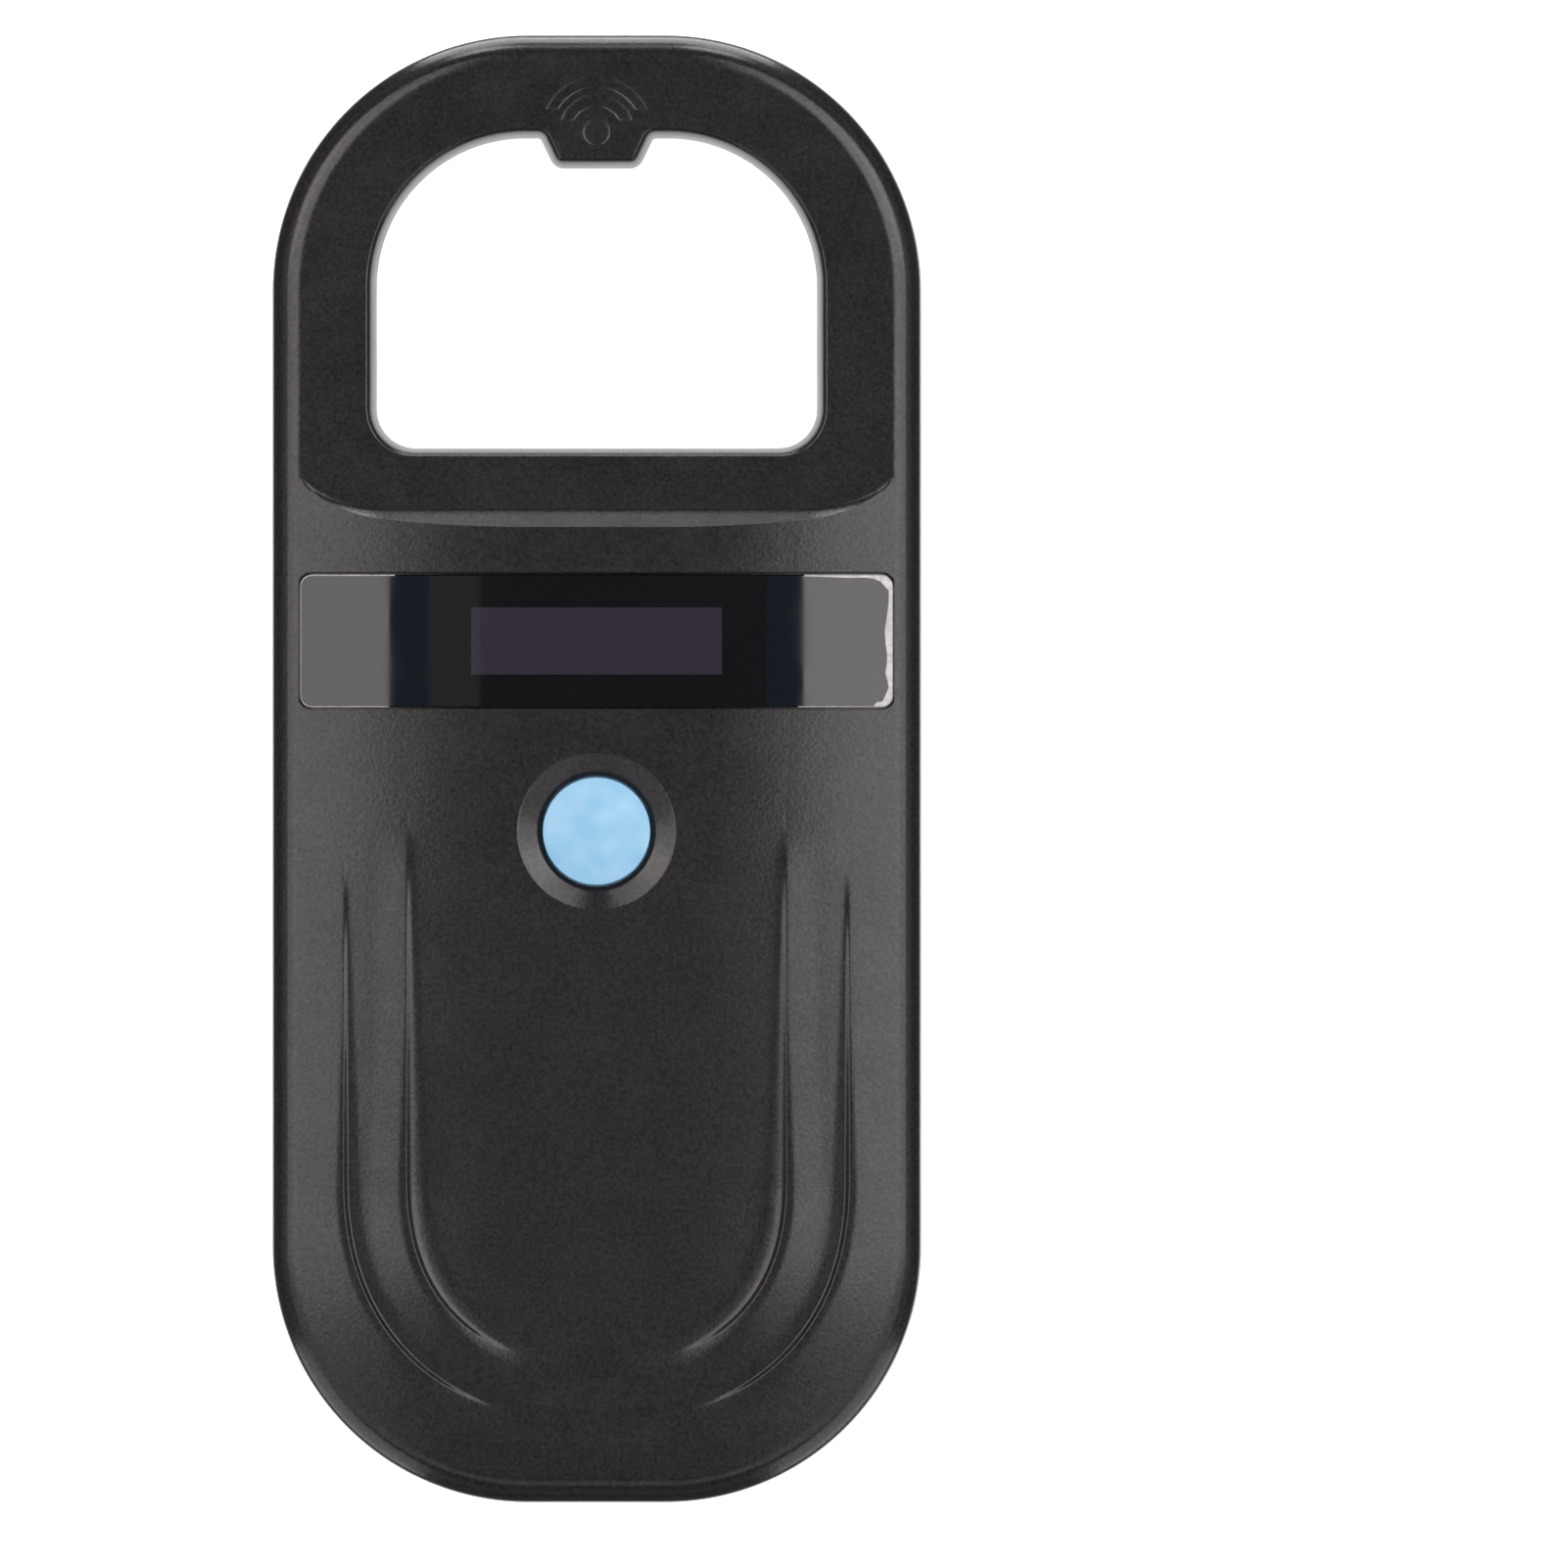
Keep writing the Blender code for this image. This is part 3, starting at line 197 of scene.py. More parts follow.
# Label on the back, and the charging port in the flat end
LABEL_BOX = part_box("rear_label")
LABEL_MARGIN = 0.4 * MM
LABEL_DEPTH = 0.4 * MM
LABEL_CORNER = 2.0 * MM
USB_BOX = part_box("usb_socket")
TONGUE_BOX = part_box("usb_tongue")
PORT_SLOT_GAP = 0.3 * MM
PORT_RECESS_DEPTH = 0.9 * MM
PORT_RECESS_HALF = 6.0 * MM
PORT_RECESS_MARGIN = 2.2 * MM

# Metal tube of the charging socket, and the contacts on its tongue
SOCKET_SKIN = 0.28 * MM
SOCKET_LIP = 0.1 * MM
SOCKET_LIP_INSET = 0.08 * MM
SOCKET_CORNER = 0.5 * MM
SOCKET_CUT = (0.9 * MM, 1.1 * MM)
SOCKET_CUT_CORNER = 0.4 * MM
TONGUE_BEVEL = 0.08 * MM
CONTACT_PITCH = 0.65 * MM
CONTACT_HALF = 0.17 * MM
CONTACT_FRONT = 0.25 * MM
CONTACT_BACK = 0.5 * MM
CONTACT_PROUD = 0.05 * MM
CONTACT_BEVEL = 0.02 * MM

# Mesh density
FACE_SPACING = 0.9 * MM
INSIDE_SPACING = 1.5 * MM
FLAT_SPACING = 2.0 * MM
LINE_SPACING = 0.6 * MM
ARC_STEP = 0.7 * MM
TURNED_STEPS = 48
FINE_STEPS = 96
WELD = 1.0e-7
SHARP_ANGLE = math.radians(32.0)

# Lines that the face's mesh follows, in mm from each ledge's crest, from the crest and the foot
# of the step and from the pictogram's edges, and the radii of those in the dish
LEDGE_LINES = (-4.3, -3.9, -3.5, -1.8, -1.3, -1.1, -0.9, -0.7, -0.4, -0.15, -0.06, -0.02, 0.02,
               0.06, 0.15, 0.27, 0.34, 0.4, 0.46, 0.54, 0.66, 0.82, 1.0, 1.2, 1.4, 1.6, 1.8, 2.1)
CREST_LINES = (-0.2, 0.0, 0.2, 0.6)
FOOT_LINES = (-0.8, -0.4, -0.15, 0.0, 0.15, 0.35, 0.7, 1.3)
ICON_LINES = (-0.1, -0.05, 0.0, 0.05, 0.1)
DISH_LINES = (7.1, 7.4, 7.8, 8.2, 8.45, 8.6, 8.75, 9.1)
RIM_LINES = (3.3, 3.8)
LINE_CLEARANCE = 0.35


# ---------------------------------------------------------------- plane outlines

def offset_corners(corners, distance):
    """Moves each edge of a counterclockwise polygon outwards; corner radii follow."""
    moved = []
    for i, (x, y, radius) in enumerate(corners):
        point = Vector((x, y))
        along_in = (point - Vector(corners[i - 1][:2])).normalized()
        along_out = (Vector(corners[(i + 1) % len(corners)][:2]) - point).normalized()
        normal_in = Vector((along_in.y, -along_in.x))
        normal_out = Vector((along_out.y, -along_out.x))
        turn = 1.0 if along_in.cross(along_out) > 0.0 else -1.0
        shift = (normal_in + normal_out) / (1.0 + normal_in.dot(normal_out))
        moved_point = point + shift * distance
        moved.append((moved_point.x, moved_point.y, radius + turn * distance))
    return moved


def rounded(corners, steps):
    """The polygon's points, with an arc of the given number of steps at each corner."""
    points = []
    for i, (x, y, radius) in enumerate(corners):
        point = Vector((x, y))
        to_last = (Vector(corners[i - 1][:2]) - point).normalized()
        to_next = (Vector(corners[(i + 1) % len(corners)][:2]) - point).normalized()
        half_angle = to_last.angle(to_next) / 2.0
        centre = point + (to_last + to_next).normalized() * (radius / math.sin(half_angle))
        tangent = radius / math.tan(half_angle)
        arm_in = point + to_last * tangent - centre
        arm_out = point + to_next * tangent - centre
        sweep = -arm_in.angle_signed(arm_out)
        start = math.atan2(arm_in.y, arm_in.x)
        for step in range(steps[i] + 1):
            angle = start + sweep * step / steps[i]
            points.append((centre.x + radius * math.cos(angle),
                           centre.y + radius * math.sin(angle)))
    return points


def smooth_loop(corners, distance, spacing=LINE_SPACING):
    """The polygon with rounded corners, moved outwards by distance.

    The number of points doesn't depend on the distance, so two such loops can be joined.
    """
    steps = [max(4, math.ceil(math.pi / 2.0 * radius / ARC_STEP)) for _, _, radius in corners]
    base = rounded(corners, steps)
    loop = rounded(offset_corners(corners, distance), steps)
    points = []
    for i, start in enumerate(loop):
        length = math.dist(base[i], base[(i + 1) % len(base)])
        parts = max(1, round(length / max(spacing, ARC_STEP)))
        end = loop[(i + 1) % len(loop)]
        points += [(start[0] + (end[0] - start[0]) * part / parts,
                    start[1] + (end[1] - start[1]) * part / parts) for part in range(parts)]
    return points


def box_loop(half_width, low, high, low_radius, high_radius, growth=0.0):
    """A rounded rectangle about the middle line, moved outwards by growth."""
    return smooth_loop([(half_width, high, high_radius), (-half_width, high, high_radius),
                        (-half_width, low, low_radius), (half_width, low, low_radius)], growth)


def outline(inset):
    """The housing's outline, moved inwards."""
    return box_loop(HALF_WIDTH, -HALF_LENGTH, HALF_LENGTH, CORNER_RADIUS, CORNER_RADIUS, -inset)


def plain_opening(growth):
    """The loop opening without its tab."""
    return box_loop(OPENING_HALF_WIDTH, OPENING_LOW, OPENING_HIGH, OPENING_LOW_RADIUS,
                    OPENING_HIGH_RADIUS, growth)


def opening(growth):
    """The loop opening with its tab."""
    return smooth_loop([
        (OPENING_HALF_WIDTH, OPENING_HIGH, OPENING_HIGH_RADIUS),
        (TAB_ROOT_HALF, OPENING_HIGH, TAB_ROOT_RADIUS),
        (TAB_TIP_HALF, TAB_TIP_Y, TAB_TIP_RADIUS),
        (-TAB_TIP_HALF, TAB_TIP_Y, TAB_TIP_RADIUS),
        (-TAB_ROOT_HALF, OPENING_HIGH, TAB_ROOT_RADIUS),
        (-OPENING_HALF_WIDTH, OPENING_HIGH, OPENING_HIGH_RADIUS),
        (-OPENING_HALF_WIDTH, OPENING_LOW, OPENING_LOW_RADIUS),
        (OPENING_HALF_WIDTH, OPENING_LOW, OPENING_LOW_RADIUS)], growth)


def lens_outline(growth):
    return box_loop(LENS_HALF_WIDTH, LENS_Y - LENS_HALF_HEIGHT, LENS_Y + LENS_HALF_HEIGHT,
                    LENS_CORNER, LENS_CORNER, growth)


def rectangle(half_width, half_height):
    """A rectangle round the middle of the display window."""
    return box_loop(half_width, LENS_Y - half_height, LENS_Y + half_height, MM, MM)


def label_outline():
    low, high = LABEL_BOX
    return box_loop(high.x + LABEL_MARGIN, low.y - LABEL_MARGIN, high.y + LABEL_MARGIN,
                    LABEL_CORNER, LABEL_CORNER)


def circle(x, y, radius, steps=TURNED_STEPS):
    angles = [2.0 * math.pi * step / steps for step in range(steps)]
    return [(x + radius * math.cos(a), y + radius * math.sin(a)) for a in angles]


def button_circle(radius):
    return circle(0.0, BUTTON_Y, radius, FINE_STEPS)


# ---------------------------------------------------------------- heights of the face

def inset_at(x, y):
    """How far points lie inside the housing's outline."""
    over_x = np.abs(x) - CORNER_X
    over_y = np.abs(y) - CORNER_Y
    outside = np.hypot(np.maximum(over_x, 0.0), np.maximum(over_y, 0.0))
    return CORNER_RADIUS - outside - np.minimum(np.maximum(over_x, over_y), 0.0)


def crown(x, y):
    """The domed face, before its edge is rounded."""
    reach = np.maximum(0.0, CORNER_RADIUS - inset_at(x, y))
    return THICKNESS - CROWN_DROP * (reach / (CORNER_RADIUS - CREASE_INSET)) ** 2


def smooth_step(share):
    share = np.clip(share, 0.0, 1.0)
    return share * share * (3.0 - 2.0 * share)


def soft_ramp(value, start, end, start_rounding, end_rounding):
    """Rises by end - start between those two values, with rounded corners."""
    def rise(over, rounding):
        return (over + np.hypot(over, rounding)) / 2.0

    return rise(value - start, start_rounding) - rise(value - end, end_rounding)


def ledge_drop(ledge, x, y):
    """How far the face lies below the crown because of one ledge.

    From outside in, it is a faint swell, a shallow lip, a steep wall and a shallow foot. They
    fade out at the ledge's upper ends, and turn into one gentle slope at the middle of its
    bottom.
    """
    ramp = np.clip((ledge["start"] - y) / (ledge["start"] - LEDGE_FULL_Y), 0.0, 1.0)
    late = np.clip((LEDGE_LIP_Y - y) / (LEDGE_LIP_Y - LEDGE_FULL_Y), 0.0, 1.0)
    across = np.abs(x) / ledge["half"]
    along = np.maximum(0.0, LEDGE_CENTRE_Y - y) / ledge["reach"]
    power = ledge["power"]
    inside_by = (1.0 - (across ** power + along ** power) ** (1.0 / power)) * ledge["half"]
    lip_width = ledge["lip"] * late
    foot_end = LEDGE_WALL_WIDTH + ledge["foot"] * ramp
    foot_slope = ledge["foot slope"] * smooth_step(ramp / LEDGE_FOOT_FADE)
    lip = LEDGE_LIP_SLOPE * soft_ramp(inside_by, -lip_width, 0.0, LEDGE_SOFTNESS,
                                      LEDGE_CREST_ROUNDING)
    wall = LEDGE_WALL_SLOPE * ramp * soft_ramp(inside_by, 0.0, LEDGE_WALL_WIDTH,
                                               LEDGE_CREST_ROUNDING, ledge["foot rounding"])
    foot = foot_slope * soft_ramp(inside_by, LEDGE_WALL_WIDTH, foot_end,
                                  ledge["foot rounding"], ledge["foot softness"])
    swell_end = -LEDGE_SWELL_GAP - lip_width
    swell_slope = ledge["swell"] * smooth_step(ramp / LEDGE_SWELL_FADE)
    swell = swell_slope * soft_ramp(inside_by, swell_end - ledge["swell width"], swell_end,
                                    LEDGE_SOFTNESS, LEDGE_SOFTNESS)
    sharp = lip + wall + foot - swell
    depth = (LEDGE_LIP_SLOPE * lip_width + LEDGE_WALL_SLOPE * ramp * LEDGE_WALL_WIDTH
             + foot_slope * ledge["foot"] * ramp - swell_slope * ledge["swell width"])
    gentle = depth * smooth_step(0.5 + inside_by / (2.0 * LEDGE_END_REACH))
    near, far = ledge["end"]
    at_end = (y < LEDGE_CENTRE_Y) * (1.0 - smooth_step((np.abs(x) - near) / (far - near)))
    return sharp + (gentle - sharp) * at_end


def icon_depth_at(x, y):
    """Depth of the engraved pictogram."""
    radius = np.hypot(x, y - ICON_Y)
    within = ICON_RING_RADIUS - radius
    for inner, outer, cut in ICON_ARCS:
        arc = np.minimum(np.minimum(radius - inner, outer - radius), y - ICON_Y - cut)
        within = np.maximum(within, arc)
    return ICON_DEPTH * smooth_step(0.5 + within / ICON_EDGE)


def past_foot(x, y):
    """How far points lie past the foot of the step, which turns up at both of its ends."""
    across = np.maximum(np.abs(x) - STEP_CORNER_X, 0.0)
    down = np.maximum(STEP_CORNER_Y - y, 0.01 * MM)
    reach = np.hypot(across / STEP_CORNER_WIDTH, down / STEP_CORNER_HEIGHT)
    growth = np.hypot(across / STEP_CORNER_WIDTH ** 2, down / STEP_CORNER_HEIGHT ** 2) / reach
    return (reach - 1.0) / growth


def step_height(x, y):
    """Height of the flat loop face and of the slope that leads up to the domed face."""
    over = past_foot(x, y)
    share = smooth_step((STEP_CORNER_Y - y) / STEP_CORNER_HEIGHT)
    slope = STEP_SLOPE * (np.hypot(over, STEP_FOOT_ROUNDING * share) + over) / 2.0
    return FACE_PLANE + np.where(y < STEP_CORNER_Y, slope, 0.0)


def smooth_face(x, y):
    """The face without its rounded edge, the dish and the pictogram."""
    domed = crown(x, y) - ledge_drop(OUTER_LEDGE, x, y) - ledge_drop(INNER_LEDGE, x, y)
    return np.minimum(domed, step_height(x, y))


def face(x, y):
    radius = np.hypot(x, y - BUTTON_Y)
    share = np.clip((DISH_RADIUS - radius) / (DISH_RADIUS - DISH_FOOT_RADIUS), 0.0, 1.0)
    return smooth_face(x, y) - DISH_DEPTH * share - icon_depth_at(x, y)


def ceiling(x, y):
    return smooth_face(x, y) - WALL


def below_crown(depth):
    """A surface parallel to the crown."""
    return lambda x, y: crown(x, y) - depth


def at_height(height):
    """A flat surface."""
    return lambda x, y: np.full(len(x), height)


# ---------------------------------------------------------------- lines that shape the face

def closed(loop):
    return loop + loop[:1]


def ledge_line(ledge, offset):
    """A line along a ledge, offset inwards from its crest."""
    half = ledge["half"] - offset
    reach = ledge["reach"] - offset
    top = ledge["start"] + 1.0 * MM
    count = round((top - LEDGE_CENTRE_Y) / LINE_SPACING)
    side = [(half, top + (LEDGE_CENTRE_Y - top) * step / count) for step in range(count)]
    turn = round(math.pi / 2.0 * half / LINE_SPACING)
    power = 2.0 / ledge["power"]
    for step in range(turn + 1):
        angle = math.pi / 2.0 * step / turn
        side.append((half * max(0.0, math.cos(angle)) ** power,
                     LEDGE_CENTRE_Y - reach * math.sin(angle) ** power))
    return side[:-1] + [(-x, y) for x, y in reversed(side)]


def ledge_lines(ledge):
    return [ledge_line(ledge, offset * MM) for offset in LEDGE_LINES]


def foot_stations():
    """Points along the foot of the step, each with the direction that leads up the slope."""
    count = round(2.0 * STEP_CORNER_X / LINE_SPACING)
    turn = 12
    stations = []
    for side, steps in ((-1.0, range(turn, 0, -1)), (1.0, range(1, turn + 1))):
        arc = []
        for step in steps:
            angle = math.radians(80.0) * step / turn
            foot = Vector((side * (STEP_CORNER_X + STEP_CORNER_WIDTH * math.sin(angle)),
                           STEP_CORNER_Y - STEP_CORNER_HEIGHT * math.cos(angle)))
            ahead = Vector((side * math.sin(angle) / STEP_CORNER_WIDTH,
                            -math.cos(angle) / STEP_CORNER_HEIGHT))
            arc.append((foot, ahead.normalized()))
        stations.append(arc)
    straight = [(Vector((STEP_CORNER_X * (2.0 * i / count - 1.0), STEP_FOOT_Y)),
                 Vector((0.0, -1.0))) for i in range(count + 1)]
    return stations[0] + straight + stations[1]


def crest_distance(foot, ahead):
    """How far past its foot the slope of the step meets the domed face."""
    low, high = 0.0, 4.0 * MM
    for _ in range(30):
        middle = (low + high) / 2.0
        x, y = (np.array([value]) for value in foot + ahead * middle)
        if step_height(x, y)[0] < crown(x, y)[0]:
            low = middle
        else:
            high = middle
    return low


def step_lines():
    """Lines along the crest of the step and along its rounded foot."""
    stations = foot_stations()
    crests = [crest_distance(foot, ahead) for foot, ahead in stations]
    lines = []
    for offset in CREST_LINES:
        lines.append([foot + ahead * (crest + offset * MM)
                      for (foot, ahead), crest in zip(stations, crests)])
    for offset in FOOT_LINES:
        lines.append([foot + ahead * offset * MM for (foot, ahead), crest
                      in zip(stations, crests) if crest > (offset + LINE_CLEARANCE) * MM])
    clear = CREASE_INSET + LINE_CLEARANCE * MM
    return [[tuple(point) for point in line if inset_at(*point) > clear] for line in lines]


def icon_lines():
    """Loops on both sides of each edge of the pictogram."""
    lines = []
    for offset in ICON_LINES:
        grow = offset * MM
        lines.append(closed(circle(0.0, ICON_Y, ICON_RING_RADIUS + grow, 40)))
        for inner, outer, cut in ICON_ARCS:
            loop = []
            for radius, turn in ((outer + grow, 1.0), (inner - grow, -1.0)):
                end = math.acos((cut - grow) / radius)
                count = round(2.0 * end * radius / (0.3 * MM))
                angles = [end * turn * (1.0 - 2.0 * step / count) for step in range(count + 1)]
                loop += [(radius * math.sin(a), ICON_Y + radius * math.cos(a)) for a in angles]
            lines.append(closed(loop))
    return lines


def dish_lines():
    return [closed(button_circle(radius * MM)) for radius in DISH_LINES]


def face_lines():
    rings = [closed(outline(inset * MM)) for inset in RIM_LINES]
    return (rings + ledge_lines(OUTER_LEDGE) + ledge_lines(INNER_LEDGE) + step_lines()
            + icon_lines() + dish_lines())


# ---------------------------------------------------------------- surfaces

def inside(x, y, loop):
    """Which points lie inside a closed loop."""
    found = np.zeros(len(x), bool)
    for (x1, y1), (x2, y2) in zip(loop, loop[1:] + loop[:1]):
        if y1 != y2:
            crosses = (y1 > y) != (y2 > y)
            found ^= crosses & (x < (x2 - x1) * (y - y1) / (y2 - y1) + x1)
    return found


def within(x, y, loops):
    """Which points lie inside the first loop and outside the others."""
    kept = inside(x, y, loops[0])
    for hole in loops[1:]:
        kept &= ~inside(x, y, hole)
    return kept


def filling(loops, taken, spacing):
    """A grid of points between the loops, clear of the points that are taken."""
    low = np.min(loops[0], axis=0)
    high = np.max(loops[0], axis=0)
    grid = np.meshgrid(np.arange(low[0], high[0], spacing), np.arange(low[1], high[1], spacing))
    x, y = (axis.ravel() for axis in grid)
    kept = within(x, y, loops)
    tree = KDTree(len(taken))
    for i, point in enumerate(taken):
        tree.insert((*point, 0.0), i)
    tree.balance()
    clearance = 0.55 * spacing
    return [(px, py) for px, py in zip(x[kept].tolist(), y[kept].tolist())
            if tree.find((px, py, 0.0))[2] > clearance]


def sheet(loops, height, lines=(), spacing=None, finish_at=None):
    """A triangulated surface: the first loop bounds it, the others are holes."""
    points = []
    edges = []
    for chain in [closed(loop) for loop in loops] + list(lines):
        first = len(points)
        points.extend(chain)
        edges.extend((first + i, first + i + 1) for i in range(len(chain) - 1))
    if spacing:
        points.extend(filling(loops, points, spacing))
    flat, _, triangles, _, _, _ = delaunay_2d_cdt([Vector(point) for point in points],
                                                  edges, [], 0, 1.0e-8)
    flat = np.array([tuple(point) for point in flat])
    triangles = np.array(triangles)
    middle = flat[triangles].mean(axis=1)
    triangles = triangles[within(middle[:, 0], middle[:, 1], loops)]
    used, triangles = np.unique(triangles, return_inverse=True)
    triangles = triangles.reshape(-1, 3)
    flat = flat[used]
    places = np.column_stack((flat, height(flat[:, 0], flat[:, 1])))
    finishes = np.zeros(len(triangles), int)
    if finish_at:
        middle = flat[triangles].mean(axis=1)
        finishes = finish_at(middle[:, 0], middle[:, 1])
    return places, triangles.tolist(), finishes.tolist()


def ring(loop, height):
    """A loop's points at a height, which is a number or a surface."""
    flat = np.array(loop)
    levels = height(flat[:, 0], flat[:, 1]) if callable(height) else np.full(len(flat), height)
    return np.column_stack((flat, levels))


def bands(rings):
    """Surfaces that join each ring of points to the next one."""
    made = []
    for low, high in zip(rings, rings[1:]):
        count = len(low)
        faces = [(i - 1 if i else count - 1, i, count + i, count + (i - 1 if i else count - 1))
                 for i in range(count)]
        made.append((np.vstack((low, high)), faces, [0] * count))
    return made


def wall(loop, low, high):
    """An upright wall along a loop, between two heights."""
    return bands([ring(loop, low), ring(loop, high)])


def tube(x, y, profile, steps=TURNED_STEPS):
    """A surface turned about an upright axis, through (radius, height) points."""
    return bands([ring(circle(x, y, radius, steps), height) for radius, height in profile])


def quarter(radius, steps=6):
    """(across, down) points along a quarter round, from its flat side to its steep side."""
    angles = [math.pi / 2.0 * step / steps for step in range(steps + 1)]
    return [(radius * math.sin(a), radius * (1.0 - math.cos(a))) for a in angles]


def add_object(name, data):
    made = bpy.data.objects.new(name, data)
    bpy.context.collection.objects.link(made)
    return made


def build(name, patches, materials, body, node):
    """Makes one piece from its surfaces, puts it on its body and hides the CAD part that it
    replaces.
    """
    points = []
    faces = []
    finishes = []
    first = 0
    for places, corners, kinds in patches:
        points.append(places)
        faces += [tuple(first + corner for corner in one) for one in corners]
        finishes += kinds
        first += len(places)
    data = bpy.data.meshes.new(name)
    data.from_pydata(np.concatenate(points).tolist(), [], faces)
    data.polygons.foreach_set("material_index", finishes)
    work = bmesh.new()
    work.from_mesh(data)
    bmesh.ops.remove_doubles(work, verts=work.verts, dist=WELD)
    bmesh.ops.recalc_face_normals(work, faces=work.faces)
    work.to_mesh(data)
    work.free()
    for one in materials:
        data.materials.append(one)
    piece = add_object(name, data)
    shade(piece)
    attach(piece, body)
    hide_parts(node)
    return piece


def shade(piece):
    piece.data.shade_smooth()
    piece.data.set_sharp_from_angle(angle=SHARP_ANGLE)


def box_mesh(low, high):
    work = bmesh.new()
    bmesh.ops.create_cube(work, size=1.0)
    for vert in work.verts:
        vert.co = Vector(((vert.co[i] + 0.5) * (high[i] - low[i]) + low[i] for i in range(3)))
    return work


def carve(piece, boxes):
    """Cuts boxes, given by their lowest and highest corners, from a piece if it is closed."""
    cutters = []
    for number, (low, high) in enumerate(boxes):
        work = box_mesh(low, high)
        data = bpy.data.meshes.new("cutter")
        work.to_mesh(data)
        work.free()
        cutters.append(add_object("cutter", data))
        step = piece.modifiers.new(f"cut_{number}", "BOOLEAN")
        step.operation = "DIFFERENCE"
        step.solver = "MANIFOLD"
        step.object = cutters[-1]
    graph = bpy.context.evaluated_depsgraph_get()
    old = piece.data
    piece.data = bpy.data.meshes.new_from_object(piece.evaluated_get(graph))
    piece.modifiers.clear()
    bpy.data.meshes.remove(old)
    for cutter in cutters:
        data = cutter.data
        bpy.data.objects.remove(cutter)
        bpy.data.meshes.remove(data)
    shade(piece)


# ---------------------------------------------------------------- housing

def parting_faces():
    """The flat faces where the two shells meet."""
    flat = at_height(PARTING_Z)
    return [sheet([outline(PARTING_CHAMFER), outline(WALL)], flat),
            sheet([plain_opening(WALL), opening(PARTING_CHAMFER - OPENING_DRAFT)], flat)]


def front_rim():
    """Rings from the crease over the rounded edge, and down the side."""
    def body(inset):
        return ring(outline(inset), smooth_face)

    rings = [body(CREASE_INSET)]
    edge = SIDE_DRAFT + FRONT_RIM_RADIUS
    for across, down in quarter(FRONT_RIM_RADIUS, 12):
        lowered = body(edge - across)
        lowered[:, 2] -= down
        rings.append(lowered)
    rings.append(ring(outline(0.0), PARTING_Z + PARTING_CHAMFER))
    rings.append(ring(outline(PARTING_CHAMFER), PARTING_Z))
    return bands(rings)


def opening_edge():
    """(growth, depth) of the opening's rounded edge and of the short steep lead below it."""
    angles = [OPENING_LEAD_ANGLE * step / EDGE_STEPS for step in range(EDGE_STEPS + 1)]
    profile = [(OPENING_EDGE - OPENING_EDGE_ROUNDING * math.sin(a),
                OPENING_EDGE_ROUNDING * (1.0 - math.cos(a))) for a in angles]
    growth, depth = profile[-1]
    profile.append((growth - OPENING_LEAD, depth + OPENING_LEAD * math.tan(OPENING_LEAD_ANGLE)))
    return profile


def front_opening_wall():
    rings = [ring(opening(growth), FACE_PLANE - depth) for growth, depth in opening_edge()]
    rings.append(ring(opening(-OPENING_DRAFT), PARTING_Z + PARTING_CHAMFER))
    rings.append(ring(opening(PARTING_CHAMFER - OPENING_DRAFT), PARTING_Z))
    return bands(rings)


def lens_recess():
    """The recess for the window, and the hole in its floor for the display."""
    rings = []
    for across, down in quarter(RECESS_EDGE, 3):
        edge = ring(lens_outline(LENS_GAP + RECESS_EDGE - across), crown)
        edge[:, 2] -= down
        rings.append(edge)
    rings.append(ring(lens_outline(LENS_GAP), below_crown(RECESS_DEPTH)))
    window = rectangle(PANEL_HALF_WIDTH, PANEL_HALF_HEIGHT)
    pad = pad_outline()
    seat = below_crown(RECESS_DEPTH)
    back = below_crown(PAD_DEPTH)
    return (bands(rings) + [sheet([lens_outline(LENS_GAP), window], seat, (), MM)]
            + wall(window, seat, back) + [sheet([pad, window], back, (), FLAT_SPACING)]
            + wall(pad, back, ceiling))


def pad_outline():
    """The thicker part of the shell behind the window."""
    return rectangle(LENS_HALF_WIDTH + PAD_SIDE_MARGIN, LENS_HALF_HEIGHT + PAD_MARGIN)


def hole_edge():
    """(radius, depth) of the rounded edge from the dish down into the button's hole."""
    slope = math.atan(DISH_DEPTH / (DISH_RADIUS - DISH_FOOT_RADIUS))
    steps = 10
    angles = [slope + (math.pi / 2.0 - slope) * step / steps for step in range(steps + 1)]
    return [(HOLE_RADIUS + HOLE_EDGE * (1.0 - math.sin(a)),
             HOLE_EDGE * (math.cos(slope) - math.cos(a))) for a in angles]


def button_hole():
    profile = hole_edge()
    top = ring(button_circle(profile[0][0]), face)
    rings = []
    for radius, depth in profile:
        edge = ring(button_circle(radius), 0.0)
        edge[:, 2] = top[:, 2] - depth
        rings.append(edge)
    rings.append(ring(button_circle(HOLE_RADIUS), ceiling))
    return bands(rings)


def middle_of(box):
    return (box[0].x + box[1].x) / 2.0, (box[0].y + box[1].y) / 2.0


def boss(x, y, mouth, end):
    """A screw boss that hangs from the ceiling, with its pilot hole."""
    return (tube(x, y, [(FRONT_BOSS_RADIUS, ceiling), (FRONT_BOSS_RADIUS, mouth),
                        (PILOT_RADIUS, mouth), (PILOT_RADIUS, end)])
            + [sheet([circle(x, y, PILOT_RADIUS)], at_height(end))])


